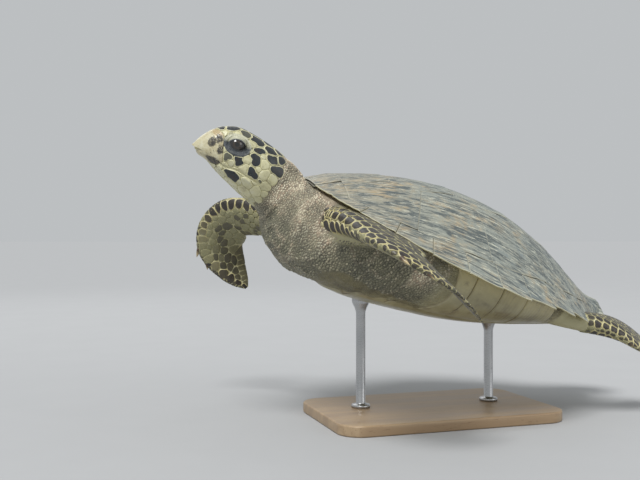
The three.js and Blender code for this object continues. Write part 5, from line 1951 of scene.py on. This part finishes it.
def limb_scale_seeds(chart, front, upper, rng):
    """Rows of large scales along both edges of each face, then smaller ones over the blade, whose
    sizes follow the place. upper is the sign of b on the face that is the upper one. Gives places,
    forms, how dark each is, how olive its pale part is, and the width of its border."""
    gaps = {
        (True, 1): curve([(0, 5), (0.10, 6), (0.15, 18), (0.3, 24), (0.58, 22), (0.68, 15),
                          (0.75, 24), (1, 14)]),
        (True, -1): curve([(0, 12), (0.15, 16), (0.4, 17), (0.6, 15), (0.75, 21), (1, 13)]),
        (False, 1): curve([(0, 12), (0.4, 15), (0.7, 16), (1, 11)]),
        (False, -1): curve([(0, 12), (0.4, 14), (0.7, 15), (1, 10)]),
    }
    arc = lambda s, b: np.linalg.norm(
        np.diff(chart.point(s, np.linspace(0, 1, 60) * b), axis=0), axis=1).sum()
    pace = lambda s, b: np.linalg.norm(chart.read(chart.along, s, b), axis=-1)
    bunched = lambda s, b: pace(s, b) < 0.42 * pace(s, 0 * b)
    rows = []
    start = 0.06 if front else 0.34
    for face in (1, -1):
        gap = gaps[front, face]
        b = face * upper
        for s in along_edge(chart, b * 0.06, start, 0.985, gap):
            size = arc(s, b)
            wide = (7.6 if face > 0 else 11.0) if front else 8.2
            reach = min(wide * (1 - 0.4 * ease(s, 0.6, 1)), size * 0.3)
            plain = bump(s, 0.63, 0.11) if front and face < 0 else 0.0
            rows.append((s, b * (reach + 0.5) / size, gap(s) / 2, reach, 0.0, 1 - 0.85 * plain,
                         0.9 * plain, 1.7 - 0.8 * ease(s, 0.6, 1)))
            if face > 0 and s > 0.13:
                rows.append((s + 0.015, b * (2.5 * reach + 1.5) / size, gap(s) / 2.4, reach * 0.8,
                             0.1, 1.0, 0.4, 0.9))
        for s in along_edge(chart, b * 0.97, 0.3 if front else 0.42, 0.985, lambda s: 0 * s + 10):
            if bunched(s, b * 0.97):
                continue
            size = arc(s, b)
            reach = min(8.5, size * 0.22)
            rows.append((s, b * (1 - (reach + 0.6) / size), 5.0, reach, 0.0,
                         0.95 if face > 0 else 0.7, 0.3 if face > 0 else 0.7, 0.8))
    rows = np.array(rows)
    count = 9000
    s, b = rng.uniform(start - 0.02, 0.985, count), rng.uniform(-0.97, 0.97, count)
    lifted = lambda s, b: chart.point(s, b, 12 * ease(s, 0.3, 0.5))
    at = lifted(s, b)
    if front:
        size = np.interp(s, [0.06, 0.2, 0.45, 0.8, 1], [3.0, 4.2, 6.2, 6.4, 5.0])
    else:
        size = np.interp(s, [0.3, 0.5, 0.8, 1], [3.4, 5.0, 6.0, 5.0])
    on_top = b * upper > 0
    size = size * np.where(on_top, 1.1, 0.95) * rng.uniform(0.88, 1.12, count)
    own = lifted(rows[:, 0], rows[:, 1])
    room = (np.linalg.norm(at[:, None] - own[None], axis=-1)
            / (rows[None, :, 2:4].mean(-1) + size[:, None] * 0.8)).min(1) > 1
    room &= ~bunched(s, b)
    s, b, at, size, on_top = s[room], b[room], at[room], size[room], on_top[room]
    stay = thinned(at, size * 2, rng.random(len(at)))
    s, b, size, on_top = s[stay], b[stay], size[stay], on_top[stay]
    outer = ease(s + 0.05 * rng.normal(size=len(s)), 0.52, 0.72)
    dashes = rng.random(len(s)) < 0.35
    root = 1 - ease(s, 0.12, 0.26)
    below = np.maximum(outer * 0.85, np.where(dashes, 0.75, 0.12))
    tone = np.where(on_top, rng.uniform(0.85, 1.0, len(s)), below)
    olive = np.where(on_top, 0.65, 0.9) * (1 - root)
    rim = np.where(on_top, 0.75, 0.9 + 0.5 * root - 0.35 * outer)
    fill = np.column_stack([s, b, size * 1.14, size * 0.92, rng.normal(0, 0.25, len(s)), tone,
                            olive, rim])
    return np.concatenate([rows, fill])


def make_limb_scales():
    """The scales of each flipper in one piece, thinner towards its tip, and its two claws."""
    for index, (limb, (form, _, _)) in enumerate(LIMBS.items()):
        rng = np.random.default_rng(40 + index)
        chart = limb_chart(limb, -COAT)
        upper = 1 if limb.endswith("right") else -1
        seeds = limb_scale_seeds(chart, form is FRONT, upper, rng)
        work = Work()
        thin = np.interp(seeds[:, 0], [0.2, 0.8, 1], [0.9, 0.65, 0.45])
        scales(work, chart, seeds[:, :2], seeds[:, 2:5], gap=0.6, height=thin, rounds=2.0,
               tone=seeds[:, 5], kind=seeds[:, 6], border=seeds[:, 7], sides=20, spread=1.0,
               depth=0.9, neighbours=20,
               rings=[(0.0, 1.0), (0.5, 0.98), (0.8, 0.85), (0.95, 0.45), (1.0, -0.2)])
        work.piece(f"flipper_scales_{limb}", LIMB_SCALE, "flipper_skin", bake_map=True)
        for k, (s, length, radius) in enumerate(form["claws"]):
            make_claw(limb, s, length, radius, k + 1)


def make_claw(limb, s, length, radius, number):
    """A curved horn cone: rings along an arc that leaves the leading edge and bends to the tip."""
    at, along, edge, up = (v[0] for v in limb_frame(limb, np.array([s])))
    lean = unit(0.55 * edge + 0.83 * along)
    root = at + edge * (LIMBS[limb][0]["lead"](s) - 4.2)
    t = np.linspace(0, 1, 24)
    total = length + 3.0
    bend = 0.35 * t**2 * total
    path = root + (lean * (t * total)[:, None]) + (along - lean * (along @ lean)) * bend[:, None]
    size = radius * (1 - t**1.2) ** 0.9 + 0.2
    side = unit(np.cross(lean, up))
    sides = 28
    phi = circle(sides)
    rings = path[:, None] + size[:, None, None] * (
        np.cos(phi)[None, :, None] * side + 0.7 * np.sin(phi)[None, :, None] * up)
    shell, faces = tube(rings)
    edge = np.concatenate([np.repeat(t * total, sides), [0, total]])
    work = Work()
    work.add(shell, outwards(shell, faces, path[6]), head=shell, edge=edge)
    work.piece(f"claw_horn_{limb}_{number}", CLAW, "claw_horn", replaces=(f"claw_{limb}_{number}",))


# ---------------------------------------------------------------- bridge plates and granules

def make_bridge():
    """Four smooth plates a side on the trunk's own round, from beneath the belly plates' edge up to
    the shell's underside, each a grid that dips into its seams. The first has a hollow front edge,
    behind the root of the flipper."""
    joints, notch, girth = [200, 252, 306, 360, 436], 24.0, 130.0
    stations = np.linspace(joints[0], joints[-1], 119)
    angle = np.linspace(-np.pi / 2, 0.9, 401)
    line = trunk_section(stations[:, None], angle[None])
    beyond = line[..., 1] > half_width(line[..., 0] / LENGTH) * BELLY_SHARE - 4
    roofed = line[..., 2] > dome(line[..., 0], line[..., 1]) - PLATE + 1
    low = angle[beyond.argmax(1)]
    high = angle[np.where(roofed.any(1), roofed.argmax(1), len(angle) - 1)]
    share, t = np.linspace(0, 1, 90)[None], np.linspace(0, 1, 45)[:, None]
    for sign, label in ((1, "right"), (-1, "left")):
        work = Work()
        for start, end in zip(joints, joints[1:]):
            front = start + notch * (start == joints[0]) * (1 - (2 * share - 1) ** 2)
            x = front + (end - front) * t
            floor, roof = np.interp(x, stations, low), np.interp(x, stations, high)
            grid = trunk_section(x, floor + (roof - floor) * share)
            slopes = np.gradient(grid, axis=(0, 1))
            out = unit(np.cross(slopes[1], slopes[0]))
            out *= np.sign(out[..., 1].mean())
            seam = np.minimum(t, 1 - t) * (end - front)
            edge = np.minimum(seam, np.minimum(share, 1 - share) * girth)
            height = 1.5 * ease(edge, 0, 2.6) - 1.1 * (1 - ease(edge, 0, 0.9))
            rings = np.concatenate([grid + out * height[..., None], (grid - 2.4 * out)[:, ::-1]], 1)
            edge = np.concatenate([edge, edge[:, ::-1]], 1)
            work.add_tube(rings * [1, sign, 1], "body",
                          edge=np.concatenate([edge.ravel(), [0, 0]]))
        work.piece(f"bridge_plates_{label}", PLASTRON, "belly_plate")


GRANULES_TRIED, SMALL_SHARE, GRANULE_SPACING, GRANULES_A_PIECE = 120000, 0.56, 1.74, 5500


def make_granules(points, normals, quads, head_seats, head_sizes):
    """Small domed scales of the neck, shoulders and tail, strewn on the skin so that none touch:
    eight-sided, longer along the body's girth, each sunk a little at its edge."""
    rng = np.random.default_rng(11)
    grain, _ = zones(points)
    x, y, z = points.T
    belly = (z < trunk_under(x, y) + 9) & (np.abs(y) < half_width(
        np.clip(x / LENGTH, 0.01, 0.99)) * BELLY_SHARE - 6) & (x > BELLY_START)
    hidden = ((z > dome(x, y) - PLATE - 4) & (x > 10)) | belly | (belly_zone(points) > 0.45)
    apart, share = limb_nearness(points)
    on_limb = (1 - ease(apart, 1.05, 1.35)) * ease(share, 0.05, 0.14)
    want = np.clip(grain + 0.7 * ease(x, 480, 530), 0, 1) * ~hidden * (1 - on_limb)
    size = 1.45 + 0.65 * ease(x, -110, 20) + 0.45 * ease(-z, 60, 130)
    area = np.linalg.norm(face_normals(points, quads), axis=1) / 2
    weight = area * (want / size**2)[quads].mean(1)
    weight = np.where(want[quads].min(1) > 0.3, weight, 0)
    count = GRANULES_TRIED
    face = rng.choice(len(quads), count, p=weight / weight.sum())
    s, t = rng.random((2, count, 1))

    def mixed(table):
        """The table's values at the picked places, blended from the corners of their quads."""
        low = table[quads[face, 0]] * (1 - s) + table[quads[face, 1]] * s
        high = table[quads[face, 3]] * (1 - s) + table[quads[face, 2]] * s
        return low * (1 - t) + high * t

    at, up, own = mixed(points), unit(mixed(normals)), mixed(size[:, None])[:, 0]
    ends = ease(1 - mixed(want[:, None])[:, 0], 0.2, 0.7)
    large = np.arange(count) < count // 2
    own = own * rng.uniform(0.8, 1.25, count)
    own = own * np.where(large, 1.0, SMALL_SHARE) * (1 - 0.45 * ends)
    bare = head_place(at)[0] > 134
    apart = np.linalg.norm(at[~bare][:, None] - head_seats[None], axis=-1) / head_sizes
    bare[~bare] = apart.min(1) > 1.0
    at, up, own, ends = at[bare], up[bare], own[bare], ends[bare]
    stay = thinned(at, own * GRANULE_SPACING, rng.random(len(at)) + large[bare])
    at, up, own, ends = at[stay], up[stay], own[stay], ends[stay]
    first = np.cross(up, unit(np.cross(HEAD_AXIS, up)))
    first = unit(first + 0.3 * rng.normal(size=at.shape))
    first = unit(first - (first * up).sum(-1, keepdims=True) * up)
    second = np.cross(up, first)
    sides = 8
    phi = circle(sides)
    wobble = 1 + 0.13 * rng.normal(size=(len(at), sides))
    ring = (np.cos(phi)[None, :, None] * first[:, None] * 0.76
            + np.sin(phi)[None, :, None] * second[:, None] * 1.2)
    ring = ring * (own[:, None] * wobble)[..., None]
    # lightness holds painted shade in the folds' hollows and a painted highlight on their crests;
    # it sets the granules' colour
    light = lightness(at)
    tall = (own * (0.22 + 0.14 * light) * (1 - 0.4 * ends))[:, None, None] * up[:, None]
    layers = [at[:, None] + tall, at[:, None] + 0.6 * ring + 0.84 * tall,
              at[:, None] + ring - 0.15 * up[:, None], at[:, None] - 0.6 * up[:, None]]
    made = np.concatenate(layers, 1)
    index = np.arange(sides)
    faces = [fan(0, 1 + index), grid_quads(2, sides, True, start=1)[:, ::-1],
             fan(1 + 2 * sides, 1 + sides + index, flip=True)]
    girth = np.arctan2(at[:, 1], at[:, 2] + 60) / TAU + 0.5
    root = np.column_stack([(at[:, 0] + 215) / 860, girth]) * 0.98 + 0.01
    around = towards(phi)
    spot = np.concatenate([[[0, 0]], 0.5 * around, around, [[0, 0]]]) * HIDDEN_SIZE
    each = 2 + 2 * sides
    tone = rng.random(len(at))
    pieces = math.ceil(len(at) / GRANULES_A_PIECE)
    for number, part in enumerate(np.array_split(np.arange(len(at)), pieces)):
        work = Work()
        start = (np.arange(len(part)) * each)[:, None, None]
        groups = [(f[None] + start).reshape(-1, f.shape[1]) for f in faces]
        on_map = (root[part][:, None] + spot[None]).reshape(-1, 2)
        work.add(made[part], groups, [on_map[group] for group in groups],
                 body=made[part].reshape(-1, 3), tone=np.repeat(tone[part], each),
                 light=np.repeat(light[part], each),
                 ends=np.repeat(ends[part] * (at[part, 0] > 60), each))
        work.piece(f"granules_{number + 1}", GRANULE, "body_skin", bake_map=True)


# ---------------------------------------------------------------- stand

STAND = {"length": 400.0, "width": 250.0, "height": 18.0, "corner": 40.0, "bevel": 3.0,
         "rod": 8.0, "cup": 15.0, "cup_height": 16.0, "stations": (165.0, 400.0), "gap": 0.3}


def unplaced(points):
    """Model's frame in millimetres back to the body frame."""
    return (points - MOVE) @ TILT


def make_stand():
    """A board with round corners and eased edges, and two turned rods whose cups meet the belly."""
    size = STAND
    x, y = size["length"] / 2 - size["corner"], size["width"] / 2 - size["corner"]
    phi = np.linspace(0, TAU, 97)[:-1] + TAU / 192
    corner = np.column_stack([np.where(np.cos(phi) > 0, x, -x), np.where(np.sin(phi) > 0, y, -y)])
    ease_by = np.linspace(0, np.pi / 2, 7)
    inset = size["bevel"] * (1 - np.sin(ease_by))
    low = size["bevel"] * (1 - np.cos(ease_by))
    profile = [(i, h) for i, h in zip(inset, low)]
    profile += [(i, size["height"] - h) for i, h in zip(inset[::-1], low[::-1])]
    profile = [(60.0, 0.0), (8.0, 0.0)] + profile + [(8.0, size["height"]), (60.0, size["height"])]
    rings = []
    for i, h in profile:
        reach = max(size["corner"] - i, 0.5)
        pull = max(i - size["corner"], 0.0)
        ring = corner - np.sign(corner) * pull + reach * towards(phi)
        rings.append(np.column_stack([ring, np.full(len(phi), h)]))
    work = Work()
    work.add_tube(unplaced(np.array(rings)))
    work.piece("stand_board", WOOD, "stand_wood", replaces=("stand_base",))
    for k, station in enumerate(size["stations"]):
        foot_body = np.array([[station, 0.0, float(trunk_under(station, 0.0)) - BELLY_PROUD]])
        foot = (placed(foot_body) * 1000)[0]
        rise, top = foot[2] - size["cup_height"], foot[2] + size["cup"]
        base = size["height"] + size["gap"]
        profile = [(0.2, base), (15.4, base), (16, base + 0.6), (16, base + 4), (15, base + 5.2),
                   (9.2, base + 6), (8, base + 8), (8, rise - 16), (8.3, rise - 12),
                   (10.5, rise - 5), (13.6, rise + 1), (14.8, rise + 4), (15, rise + 6),
                   (15, top), (13.5, top), (0.2, top)]
        angle = circle(64)
        rings = np.array([np.column_stack([foot[0] + r * np.cos(angle), foot[1] + r * np.sin(angle),
                                           np.full(64, h)]) for r, h in profile])
        level = rings.copy()
        for _ in range(8):
            body = unplaced(level)
            over = body[..., 2] - (trunk_under(body[..., 0], body[..., 1]) - BELLY_PROUD - 0.4)
            level[..., 2] -= over
        rings[..., 2] = np.minimum(rings[..., 2], level[..., 2])
        work = Work()
        work.add_tube(unplaced(rings))
        work.piece(f"stand_rod_turned_{k + 1}", STEEL, "stand_steel",
                   replaces=(f"stand_rod_{k + 1}",))


# ---------------------------------------------------------------- the studio

def make_studio():
    """A plain pale floor, a broad soft sun above on the camera's left, weak lights on its right and
    behind, and a pale world as bright as the floor."""
    mesh = bpy.data.meshes.new("floor")
    half = 150.0
    mesh.from_pydata([(-half, -half, 0), (half, -half, 0), (half, half, 0), (-half, half, 0)], [],
                     [(0, 1, 2, 3)])
    mesh.materials.append(FLOOR)
    floor = bpy.data.objects.new("floor", mesh)
    bpy.context.collection.objects.link(floor)
    for name, kind, place, power in (("key", "SUN", (-1.3, -1.7, 3.6), 2.4),
                                     ("fill", "AREA", (2.4, -2.2, 1.5), 14),
                                     ("rim", "AREA", (-0.6, 2.6, 2.4), 10)):
        light = bpy.data.lights.new(name, kind)
        light.energy = power
        if kind == "SUN":
            light.angle = math.radians(24)
        else:
            light.shape, light.size = "DISK", 2.0
        lamp = bpy.data.objects.new(name, light)
        lamp.location = place
        way = Vector((0, 0, 0.3)) - Vector(place)
        lamp.rotation_euler = way.to_track_quat("-Z", "Y").to_euler()
        bpy.context.collection.objects.link(lamp)
    world = bpy.data.worlds.new("studio")
    world.use_nodes = True
    world.node_tree.nodes["Background"].inputs[0].default_value = (0.84, 0.87, 0.89, 1)
    world.node_tree.nodes["Background"].inputs[1].default_value = 0.60
    bpy.context.scene.world = world
    bpy.context.scene.view_settings.view_transform = "Standard"


def make_camera():
    """A 48 mm lens before the model and on its left, level, turned 18 degrees to the right."""
    camera = bpy.data.cameras.new("camera")
    camera.sensor_width, camera.lens = 36.0, 47.98
    camera.clip_start, camera.clip_end = 0.05, 220.0
    holder = bpy.data.objects.new("camera", camera)
    holder.location = (-0.6343, -1.3406, 0.3023)
    holder.rotation_euler = (math.pi / 2, 0, math.radians(-18))
    bpy.context.collection.objects.link(holder)
    bpy.context.scene.camera = holder


make_camera()
skin_points, skin_normals, skin_quads = make_skin()
make_carapace()
make_marginals()
make_plastron()
head_seats = make_head_scales()
make_beak()
make_lids()
make_eyes()
make_lips()
make_limb_scales()
make_bridge()
make_granules(skin_points, skin_normals, skin_quads, *head_seats)
make_stand()
make_studio()
